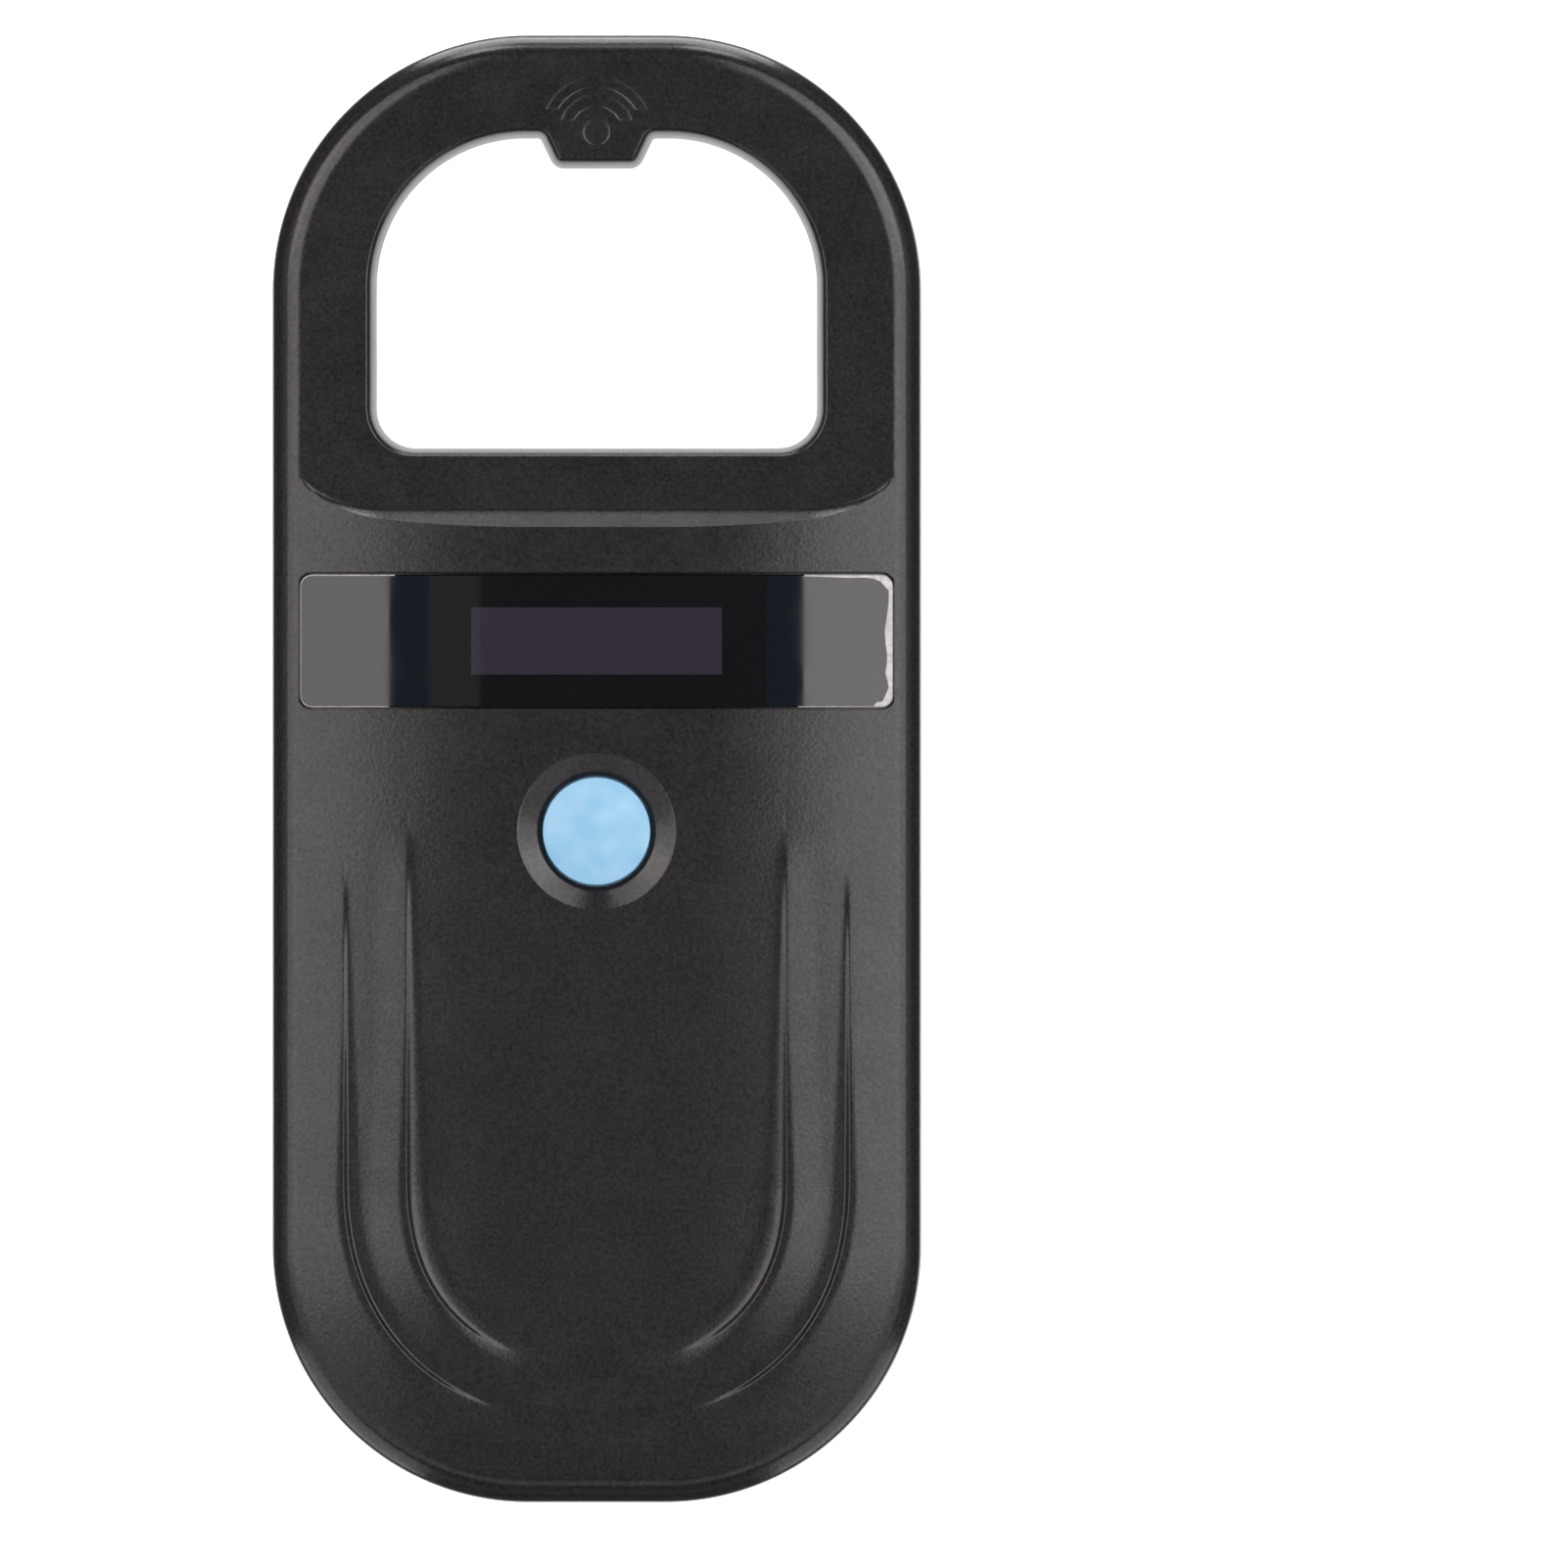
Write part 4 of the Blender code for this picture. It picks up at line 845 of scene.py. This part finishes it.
def front_inside():
    places = [middle_of(box) for box in SHELL_SCREW_BOXES + PCB_SCREW_BOXES]
    holes = [circle(x, y, FRONT_BOSS_RADIUS) for x, y in places]
    walls = [outline(WALL), plain_opening(WALL)]
    patches = [sheet(walls + [button_circle(HOLE_RADIUS), pad_outline()] + holes, ceiling, (),
                     INSIDE_SPACING)]
    for loop in walls:
        patches += wall(loop, PARTING_Z, ceiling)
    for box in SHELL_SCREW_BOXES:
        patches += boss(*middle_of(box), PARTING_Z, SHELL_PILOT_END)
    for box in PCB_SCREW_BOXES:
        patches += boss(*middle_of(box), PCB_BOSS_END, PCB_PILOT_END)
    return patches


def port_boxes():
    """The recess for a plug, and the slot for the socket."""
    low, high = USB_BOX
    outside = -HALF_LENGTH - MM
    recess = ((-PORT_RECESS_HALF, outside, low.z - PORT_RECESS_MARGIN),
              (PORT_RECESS_HALF, -HALF_LENGTH + PORT_RECESS_DEPTH, high.z + PORT_RECESS_MARGIN))
    slot = ((low.x - PORT_SLOT_GAP, outside, low.z - PORT_SLOT_GAP),
            (high.x + PORT_SLOT_GAP, -HALF_LENGTH + 2.0 * WALL, high.z + PORT_SLOT_GAP))
    return [recess, slot]


def front_shell(material):
    loops = [outline(CREASE_INSET), opening(OPENING_EDGE), lens_outline(LENS_GAP + RECESS_EDGE),
             button_circle(hole_edge()[0][0])]
    patches = [sheet(loops, face, face_lines(), FACE_SPACING)]
    patches += front_rim() + front_opening_wall() + lens_recess() + button_hole()
    patches += parting_faces() + front_inside()
    # The cut has no effect here: the window recess isn't welded to the face, so the mesh is open
    carve(build("front_shell_visible", patches, [material], "housing",
                "front_shell"), port_boxes())


def rear_rim():
    rings = [ring(outline(PARTING_CHAMFER), PARTING_Z),
             ring(outline(0.0), PARTING_Z - PARTING_CHAMFER)]
    edge = SIDE_DRAFT + BACK_RIM_RADIUS
    rings += [ring(outline(edge - across), down)
              for across, down in reversed(quarter(BACK_RIM_RADIUS, 10))]
    return bands(rings)


def rear_opening_wall():
    rings = [ring(opening(PARTING_CHAMFER - OPENING_DRAFT), PARTING_Z),
             ring(opening(-OPENING_DRAFT), PARTING_Z - PARTING_CHAMFER)]
    rings += [ring(opening(growth), depth) for growth, depth in reversed(opening_edge())]
    return bands(rings)


def rear_shell(material):
    places = [middle_of(box) for box in SHELL_SCREW_BOXES]
    label = label_outline()
    wells = [circle(x, y, WELL_RADIUS) for x, y in places]
    back = outline(SIDE_DRAFT + BACK_RIM_RADIUS)
    patches = [sheet([back, opening(OPENING_EDGE), label] + wells, at_height(0.0), (),
                     FLAT_SPACING)]
    patches += rear_rim() + rear_opening_wall() + parting_faces()
    patches += wall(label, 0.0, LABEL_DEPTH)
    patches.append(sheet([label], at_height(LABEL_DEPTH), (), FLAT_SPACING))
    bosses = [circle(x, y, REAR_BOSS_RADIUS) for x, y in places]
    walls = [outline(WALL), plain_opening(WALL)]
    patches.append(sheet(walls + bosses, at_height(FLOOR), (), FLAT_SPACING))
    for loop in walls:
        patches += wall(loop, PARTING_Z, FLOOR)
    for x, y in places:
        patches += tube(x, y, [(WELL_RADIUS, 0.0), (WELL_RADIUS, WELL_DEPTH),
                               (REAR_HOLE_RADIUS, WELL_DEPTH), (REAR_HOLE_RADIUS, REAR_BOSS_END),
                               (REAR_BOSS_RADIUS, REAR_BOSS_END), (REAR_BOSS_RADIUS, FLOOR)])
    carve(build("rear_shell_visible", patches, [material], "housing",
                "rear_shell"), port_boxes())


# ---------------------------------------------------------------- display window and button

def film_line():
    """The adhesive's inner edge, from the window's top edge round its right end."""
    right = LENS_HALF_WIDTH - LENS_BEVEL
    top = LENS_HALF_HEIGHT - LENS_BEVEL
    places, widths = zip(*FILM_WIDTHS)
    points = [(x * MM, top - down * MM) for x, down in FILM_TOP]
    for y in np.arange(places[-1], places[0], -FILM_STEP):
        width = float(np.interp(y, places, widths)) * MM
        points.append((right - width, y * MM - LENS_Y))
    points += [(x * MM, -top + up * MM) for x, up in FILM_FOOT]
    return [(x, LENS_Y + y) for x, y in points]


def display_window(gloss, screen, film_and_bevel_highlight):
    """The glossy window: its middle is the display, and adhesive shows at its right end. Both ends
    of its bevel take the adhesive's pale finish: a painted highlight on the bevel, which at the
    right end also carries on the adhesive.
    """
    screen_loop = [(side_x * SCREEN_HALF_WIDTH, LENS_Y + side_y * SCREEN_HALF_HEIGHT)
                   for side_x, side_y in ((1, 1), (-1, 1), (-1, -1), (1, -1))]
    edge = film_line()
    beyond = LENS_HALF_WIDTH + MM
    film_loop = edge + [(edge[-1][0], LENS_Y - LENS_HALF_HEIGHT - MM),
                        (beyond, LENS_Y - LENS_HALF_HEIGHT - MM),
                        (beyond, LENS_Y + LENS_HALF_HEIGHT + MM),
                        (FILM_START_X, LENS_Y + LENS_HALF_HEIGHT + MM)]

    def finish_at(x, y):
        return inside(x, y, screen_loop) + 2 * inside(x, y, film_loop)

    count = round(2.0 * LENS_HALF_WIDTH / WINDOW_COLUMN)
    half = LENS_HALF_HEIGHT - LENS_BEVEL - WINDOW_COLUMN
    columns = [[(x, LENS_Y - half), (x, LENS_Y + half)] for x in
               (LENS_HALF_WIDTH * (2.0 * i / count - 1.0) for i in range(4, count - 3))]
    top = below_crown(LENS_SINK)
    bottom = below_crown(LENS_SINK + LENS_THICKNESS)
    patches = [sheet([lens_outline(-LENS_BEVEL)], top, [closed(screen_loop), edge] + columns,
                     None, finish_at)]
    bevel, side = bands([ring(lens_outline(-LENS_BEVEL), top),
                         ring(lens_outline(0.0), below_crown(LENS_SINK + LENS_BEVEL)),
                         ring(lens_outline(0.0), bottom)])
    # Painted highlight: bevel faces past the adhesive's start at either end get the pale adhesive
    # finish; at the left end there is no adhesive, at the right end it carries on the adhesive
    pale_film_and_painted_highlight = np.abs(bevel[0][:len(bevel[1]), 0]) > FILM_START_X
    patches += [(bevel[0], bevel[1], (2 * pale_film_and_painted_highlight).tolist()), side]
    patches.append(sheet([lens_outline(0.0)], bottom, columns))
    return build("display_window", patches, [gloss, screen, film_and_bevel_highlight], "housing",
                 "display_lens")


def button_cap(material):
    """The round cap, with the flange and stem below it."""
    edge_radius = BUTTON_RADIUS - BUTTON_BEVEL
    shoulder = BUTTON_TOP - BUTTON_DOME
    profile = [(BUTTON_STEM_RADIUS, BUTTON_BOTTOM), (BUTTON_STEM_RADIUS, FLANGE_BOTTOM),
               (FLANGE_RADIUS, FLANGE_BOTTOM), (FLANGE_RADIUS, FLANGE_TOP),
               (BUTTON_RADIUS, FLANGE_TOP)]
    profile += [(edge_radius + across, shoulder - down)
                for across, down in reversed(quarter(BUTTON_BEVEL))]
    rounds = 14
    for step in range(1, rounds):
        share = 1.0 - step / rounds
        profile.append((edge_radius * share, BUTTON_TOP - BUTTON_DOME * share ** 2))
    patches = tube(0.0, BUTTON_Y, profile, FINE_STEPS)
    for radius, height in (profile[0], profile[-1]):
        patches.append(sheet([button_circle(radius)], at_height(height)))
    return build("button_cap_visible", patches, [material], "button",
                 "button_cap")


# ---------------------------------------------------------------- charging socket

def upright(loop, y):
    """A loop drawn in X and Z, placed at y."""
    flat = np.array(loop)
    return np.column_stack((flat[:, 0], np.full(len(flat), y), flat[:, 1]))


def socket_loop(inset):
    """The metal tube's section: its lower corners are cut off."""
    low, high = USB_BOX
    across, up = SOCKET_CUT
    corners = [(high.x, high.z, SOCKET_CORNER), (low.x, high.z, SOCKET_CORNER),
               (low.x, low.z + up, SOCKET_CUT_CORNER), (low.x + across, low.z, SOCKET_CUT_CORNER),
               (high.x - across, low.z, SOCKET_CUT_CORNER),
               (high.x, low.z + up, SOCKET_CUT_CORNER)]
    return rounded(offset_corners(corners, -inset), [6] * len(corners))


def cap(loop, y):
    """A flat end for an upright section."""
    return upright(loop, y), [tuple(range(len(loop)))], [0]


def charging_socket(metal):
    mouth = USB_BOX[0].y
    rear = USB_BOX[1].y
    outer = socket_loop(0.0)
    inner = socket_loop(SOCKET_SKIN)
    patches = bands([upright(outer, rear), upright(outer, mouth + SOCKET_LIP),
                     upright(socket_loop(SOCKET_LIP_INSET), mouth),
                     upright(socket_loop(SOCKET_SKIN - SOCKET_LIP_INSET), mouth),
                     upright(inner, mouth + SOCKET_LIP), upright(inner, rear - SOCKET_SKIN)])
    patches += [cap(outer, rear), cap(inner, rear - SOCKET_SKIN)]
    return build("charging_socket", patches, [metal], "housing", "usb_socket")


def socket_tongue(plastic, contact):
    """The tongue in the socket, with its five contacts."""
    low, high = TONGUE_BOX
    patches = [slab(low, high, TONGUE_BEVEL, 0)]
    for number in range(-2, 3):
        x = number * CONTACT_PITCH
        patches.append(slab(
            (x - CONTACT_HALF, low.y + CONTACT_FRONT, low.z - CONTACT_PROUD),
            (x + CONTACT_HALF, high.y - CONTACT_BACK, low.z + CONTACT_BEVEL), CONTACT_BEVEL, 1))
    return build("socket_tongue", patches, [plastic, contact], "housing",
                 "usb_tongue")


def slab(low, high, bevel, kind):
    """A bevelled box, as one surface."""
    work = box_mesh(low, high)
    bmesh.ops.bevel(work, geom=list(work.edges), offset=bevel, segments=2, affect="EDGES",
                    profile=0.5)
    work.verts.index_update()
    places = np.array([tuple(vert.co) for vert in work.verts])
    faces = [tuple(vert.index for vert in one.verts) for one in work.faces]
    work.free()
    return places, faces, [kind] * len(faces)


# ---------------------------------------------------------------- materials

class Look:
    """A procedural material that is put together one node at a time."""

    def __init__(self, name, **sockets):
        self.material = bpy.data.materials.new(name)
        self.material.use_nodes = True
        self.nodes = self.material.node_tree.nodes
        self.links = self.material.node_tree.links
        self.shader = self.nodes["Principled BSDF"]
        self.set(self.shader, sockets)
        self.place = self.nodes.new("ShaderNodeTexCoord").outputs["Object"]

    def set(self, node, sockets):
        for socket, value in sockets.items():
            node.inputs[socket.replace("_", " ")].default_value = value

    def add(self, kind, socket, source, **sockets):
        """A new node, with a source linked to one socket and values for others."""
        node = self.nodes.new(kind)
        self.set(node, sockets)
        self.links.new(source, node.inputs[socket])
        return node

    def noise(self, scale, detail=2.0, stretch=None):
        """Noise with this many features to the metre."""
        place = self.place
        if stretch:
            place = self.add("ShaderNodeMapping", "Vector", place, Scale=stretch).outputs["Vector"]
        return self.add("ShaderNodeTexNoise", "Vector", place, Scale=scale,
                        Detail=detail).outputs["Fac"]

    def cells(self, scale):
        return self.add("ShaderNodeTexVoronoi", "Vector", self.place,
                        Scale=scale).outputs["Distance"]

    def waves(self, scale, direction):
        node = self.add("ShaderNodeTexWave", "Vector", self.place, Scale=scale)
        node.bands_direction = direction
        return node.outputs["Fac"]

    def vary(self, socket, source, low, high):
        """Spreads a source value from low to high in one of the shader's sockets."""
        node = self.add("ShaderNodeMapRange", "Value", source, From_Min=0.3, From_Max=0.7,
                        To_Min=low, To_Max=high)
        self.links.new(node.outputs["Result"], self.shader.inputs[socket])

    def colours(self, source, first, second, start=0.3, end=0.7):
        node = self.add("ShaderNodeValToRGB", "Fac", source)
        for element, position, colour in zip(node.color_ramp.elements, (start, end),
                                             (first, second)):
            element.position = position
            element.color = (*colour, 1.0)
        self.links.new(node.outputs["Color"], self.shader.inputs["Base Color"])

    def bump(self, source, height):
        """Adds relief of this height, in metres."""
        node = self.add("ShaderNodeBump", "Height", source, Strength=1.0, Distance=height)
        self.links.new(node.outputs["Normal"], self.shader.inputs["Normal"])


def moulded_plastic():
    """Near-black ABS with a fine spark-eroded grain."""
    look = Look("spark_eroded_plastic")
    grain = look.noise(2400.0)
    look.colours(grain, (0.0045, 0.0040, 0.0047), (0.0125, 0.0114, 0.0125))
    look.vary("Specular IOR Level", grain, 0.38, 0.46)
    look.vary("Roughness", look.noise(220.0, 3.0), 0.18, 0.22)
    look.bump(look.noise(2600.0), 0.011 * MM)
    return look.material


def polished_window():
    look = Look("polished_window")
    look.colours(look.noise(60.0), (0.0030, 0.0030, 0.0036), (0.0040, 0.0038, 0.0044))
    look.vary("Roughness", look.noise(150.0, 4.0), 0.02, 0.05)
    return look.material


def display_screen():
    """The display's active area, with its faint lines, under the same gloss."""
    look = Look("display_screen")
    look.colours(look.waves(2400.0, "X"), (0.0185, 0.0155, 0.0230), (0.0225, 0.0190, 0.0280),
                 0.0, 1.0)
    look.vary("Roughness", look.noise(150.0, 4.0), 0.02, 0.05)
    return look.material


# Pale finish for the CAD adhesive and the window's adhesive, also used on the window bevel's ends
# as a painted highlight
def adhesive_and_bevel_highlight():
    look = Look("adhesive_and_bevel_highlight", Roughness=0.3)
    look.colours(look.noise(1500.0), (0.30, 0.30, 0.30), (0.46, 0.46, 0.46))
    look.bump(look.noise(2500.0), 0.02 * MM)
    return look.material


def blue_silicone():
    look = Look("blue_button")
    look.colours(look.noise(330.0, 1.0), (0.165, 0.365, 0.53), (0.235, 0.43, 0.58))
    look.vary("Roughness", look.noise(500.0), 0.36, 0.48)
    look.bump(look.noise(3000.0), 0.004 * MM)
    return look.material


def plated_metal():
    look = Look("plated_steel", Metallic=1.0)
    look.colours(look.noise(700.0), (0.55, 0.54, 0.53), (0.68, 0.67, 0.66))
    look.vary("Roughness", look.noise(900.0, 3.0, (1.0, 0.2, 1.0)), 0.22, 0.38)
    look.bump(look.noise(4000.0, 2.0, (1.0, 0.1, 1.0)), 0.002 * MM)
    return look.material


def contact_gold():
    look = Look("contact_gold", Roughness=0.28, Metallic=1.0)
    look.colours(look.noise(1200.0), (0.66, 0.45, 0.18), (0.80, 0.58, 0.27))
    return look.material


def printed_label():
    look = Look("blank_label", Roughness=0.5)
    look.colours(look.noise(400.0, 4.0), (0.66, 0.66, 0.65), (0.73, 0.73, 0.72))
    look.bump(look.noise(2500.0, 3.0), 0.004 * MM)
    return look.material


def speckled(name, colour, roughness, scale, relief, **sockets):
    """A finish for a piece inside: its colour varies a little, and its surface is uneven."""
    look = Look(name, Roughness=roughness, **sockets)
    darker = tuple(channel * 0.82 for channel in colour)
    look.colours(look.noise(scale, 3.0), darker, colour)
    look.bump(look.noise(scale * 4.0), relief * MM)
    return look.material


def copper_winding():
    look = Look("copper_winding", Roughness=0.35, Metallic=1.0)
    look.colours(look.noise(500.0), (0.55, 0.22, 0.09), (0.68, 0.32, 0.14))
    look.bump(look.waves(700.0, "Z"), 0.08 * MM)
    return look.material


def foam():
    look = Look("black_foam", Roughness=0.95)
    look.colours(look.cells(2200.0), (0.015, 0.015, 0.015), (0.055, 0.055, 0.055), 0.1, 0.6)
    look.bump(look.cells(2200.0), 0.15 * MM)
    return look.material


def inner_finishes():
    """Finishes for the CAD pieces that stay, by their material slot in the record."""
    return {
        "adhesive": adhesive_and_bevel_highlight(),
        "panel_glass": speckled("panel_glass", (0.03, 0.022, 0.036), 0.08, 300.0, 0.001),
        "flex_film": speckled("amber_film", (0.50, 0.25, 0.05), 0.25, 500.0, 0.004),
        "foam": foam(),
        "board": speckled("solder_mask", (0.012, 0.12, 0.05), 0.35, 800.0, 0.006),
        "component_black": speckled("component_black", (0.022, 0.022, 0.024), 0.5, 1500.0, 0.006),
        "plunger_cream": speckled("cream_nylon", (0.72, 0.66, 0.54), 0.45, 900.0, 0.004),
        "capacitor_ceramic": speckled("ceramic", (0.42, 0.31, 0.19), 0.5, 1500.0, 0.005),
        "steel": plated_metal(),
        "copper": copper_winding(),
        "wire_amber": speckled("amber_sleeve", (0.50, 0.26, 0.05), 0.35, 700.0, 0.006),
        "wire_red": speckled("red_insulation", (0.50, 0.02, 0.02), 0.4, 700.0, 0.006),
        "wire_black": speckled("black_insulation", (0.015, 0.015, 0.015), 0.4, 700.0, 0.006),
        "cell_foil": speckled("cell_foil", (0.62, 0.62, 0.64), 0.38, 250.0, 0.02, Metallic=0.8),
        "label": printed_label(),
    }


def dress_inside(finishes):
    """Gives each CAD piece that stays its finish."""
    slots = {part["node"]: part["material_slot"] for part in frame["record"]["subparts"]}
    for name, node in frame["nodes"].items():
        finish = finishes.get(slots[name])
        if finish and not node.hide_render:
            for slot in node.material_slots:
                slot.material = finish


# ---------------------------------------------------------------- camera, floor and light

VIEW_WIDTH = 171.0 * MM
VIEW_CENTRE = (20.4 * MM, -1.66 * MM)
FOCAL_LENGTH = 1000.0
SENSOR_WIDTH = 36.0
FLOOR_HALF = 12.0
WHITE = (1.0, 1.0, 1.0)
BLUISH = (0.1, 0.5, 1.0)

# Softboxes on each side, in metres: the side's name, its direction in X, where its nearest parts
# start, their radiance and colour
LIGHT_HEIGHT = 1.0
SIDES = (("left", -1.0, 0.185, 2.5, (1.0, 0.935, 0.935)),
         ("right", 1.0, 0.176, 2.95, (1.0, 0.95, 0.96)))
# Their parts: where each starts (0 where the side starts) and ends in X, its ends in Y and its
# share of the radiance
SIDE_PARTS = (("inner", 0.0, 0.65, -0.13, 0.6, 1.0), ("inner_back", 0.0, 0.65, 0.6, 1.0, 0.72),
              ("middle", 0.65, 1.6, -0.13, 0.22, 0.8),
              ("middle_back", 0.65, 1.6, 0.22, 1.0, 1.3),
              ("outer", 1.6, 4.5, -0.5, 1.0, 0.12), ("front", 0.0, 1.6, -1.0, -0.13, 0.28))
CORNER_PANEL = (1.56, -1.56, -0.2)
CORNER_PANEL_SIZE = (1.6, 3.0)
CORNER_RADIANCE = 1.3

# Faint softboxes over the gap: two (x, y) corners, radiance and colour
FAINT_SOFTBOXES = (("left_faint", (-0.135, -0.35), (-0.072, 0.6), 0.2, WHITE),
                   ("front_faint", (-0.072, -0.4), (0.165, -0.02), 0.2, WHITE),
                   ("front_middle", (-0.18, -1.2), (0.17, -0.6), 0.6, WHITE),
                   ("left_edge", (-0.185, -0.02), (-0.135, 0.1), 0.15, BLUISH),
                   ("right_edge", (0.13, -0.02), (0.176, 0.1), 0.15, BLUISH))

# Pairs of upright panels behind the loop: where they start and end in X and in Z, and radiance
BACK_PANEL_Y = 2.2
BACK_PANELS = (("back_high", 0.12, 0.7, 0.75, 0.95, 1.2), ("back", 0.12, 0.7, 0.35, 0.75, 6.4),
               ("back_middle", 0.25, 0.7, -0.12, 0.35, 3.4),
               ("back_low", 0.0, 1.0, -2.2, -0.12, 3.6))

# Brightness of the surroundings by height, from straight below (0) to straight above (1)
SURROUNDINGS = ((0.0, 1.0), (0.03, 1.0), (0.08, 0.1), (0.47, 0.1), (0.52, 0.3), (0.62, 0.28),
                (0.75, 0.12), (1.0, 0.08))


def camera():
    """Straight above, from far away, with the scanner left of the middle."""
    data = bpy.data.cameras.new("camera")
    data.lens = FOCAL_LENGTH
    data.sensor_width = SENSOR_WIDTH
    data.clip_end = 50.0
    made = add_object("camera", data)
    distance = VIEW_WIDTH * FOCAL_LENGTH / SENSOR_WIDTH
    made.location = (*VIEW_CENTRE, PARTING_Z + distance)
    bpy.context.scene.camera = made


def floor():
    data = bpy.data.meshes.new("floor")
    corners = [(-FLOOR_HALF, -FLOOR_HALF, 0.0), (FLOOR_HALF, -FLOOR_HALF, 0.0),
               (FLOOR_HALF, FLOOR_HALF, 0.0), (-FLOOR_HALF, FLOOR_HALF, 0.0)]
    data.from_pydata(corners, [], [(0, 1, 2, 3)])
    look = Look("floor", Base_Color=(0.8, 0.8, 0.8, 1.0), Roughness=0.9,
                Emission_Color=(*WHITE, 1.0), Emission_Strength=0.85)
    data.materials.append(look.material)
    made = add_object("floor", data)
    made.visible_glossy = False
    made.visible_shadow = False


def panel(name, centre, size, radiance, colour, target=None):
    """A rectangular light that shines down, or towards the target's (x, y) at its own height."""
    data = bpy.data.lights.new(name, "AREA")
    data.shape = "RECTANGLE"
    data.size, data.size_y = size
    data.energy = radiance * size[0] * size[1] * 4.0
    data.color = colour
    made = add_object(name, data)
    made.location = centre
    if target is not None:
        across, along = target[0] - centre[0], target[1] - centre[1]
        made.rotation_euler = (math.radians(90.0), 0.0, math.atan2(-across, along))
    made.visible_camera = False


def softbox(name, low, high, radiance, colour):
    """A level light overhead, between two (x, y) corners."""
    centre = ((low[0] + high[0]) / 2.0, (low[1] + high[1]) / 2.0, LIGHT_HEIGHT)
    panel(name, centre, (high[0] - low[0], high[1] - low[1]), radiance, colour)


def lighting():
    """Two large softboxes with a gap between them, and upright panels round the scanner."""
    for name, side, inner, radiance, colour in SIDES:
        for part, near, far, low, high, share in SIDE_PARTS:
            first, last = sorted((side * (near or inner), side * far))
            softbox(f"{name}_{part}", (first, low), (last, high), radiance * share, colour)
        x, y, z = CORNER_PANEL
        panel(f"{name}_corner", (side * x, y, z), CORNER_PANEL_SIZE, CORNER_RADIANCE, colour,
              (0.0, 0.0))
    for row in FAINT_SOFTBOXES:
        softbox(*row)
    for name, near, far, low, high, radiance in BACK_PANELS:
        for side, sign in (("left", -1.0), ("right", 1.0)):
            across = sign * (near + far) / 2.0
            panel(f"{name}_{side}", (across, BACK_PANEL_Y, (low + high) / 2.0),
                  (far - near, high - low), radiance, WHITE, (across, 0.0))


def surroundings():
    """A dim studio: dark overhead and low down, and paler straight below."""
    world = bpy.data.worlds.new("studio")
    bpy.context.scene.world = world
    world.use_nodes = True
    nodes = world.node_tree.nodes
    links = world.node_tree.links
    place = nodes.new("ShaderNodeTexCoord")
    split = nodes.new("ShaderNodeSeparateXYZ")
    links.new(place.outputs["Generated"], split.inputs["Vector"])
    spread = nodes.new("ShaderNodeMapRange")
    spread.inputs["From Min"].default_value = -1.0
    links.new(split.outputs["Z"], spread.inputs["Value"])
    ramp = nodes.new("ShaderNodeValToRGB")
    elements = ramp.color_ramp.elements
    while len(elements) < len(SURROUNDINGS):
        elements.new(0.5)
    for element, (position, value) in zip(elements, SURROUNDINGS):
        element.position = position
        element.color = (value, value, value, 1.0)
    links.new(spread.outputs["Result"], ramp.inputs["Fac"])
    links.new(ramp.outputs["Color"], nodes["Background"].inputs["Color"])


def main():
    plastic = moulded_plastic()
    front_shell(plastic)
    rear_shell(plastic)
    display_window(polished_window(), display_screen(), adhesive_and_bevel_highlight())
    button_cap(blue_silicone())
    finishes = inner_finishes()
    charging_socket(finishes["steel"])
    socket_tongue(finishes["component_black"], contact_gold())
    dress_inside(finishes)
    camera()
    floor()
    lighting()
    surroundings()
    bpy.context.scene.view_settings.view_transform = "Standard"


main()
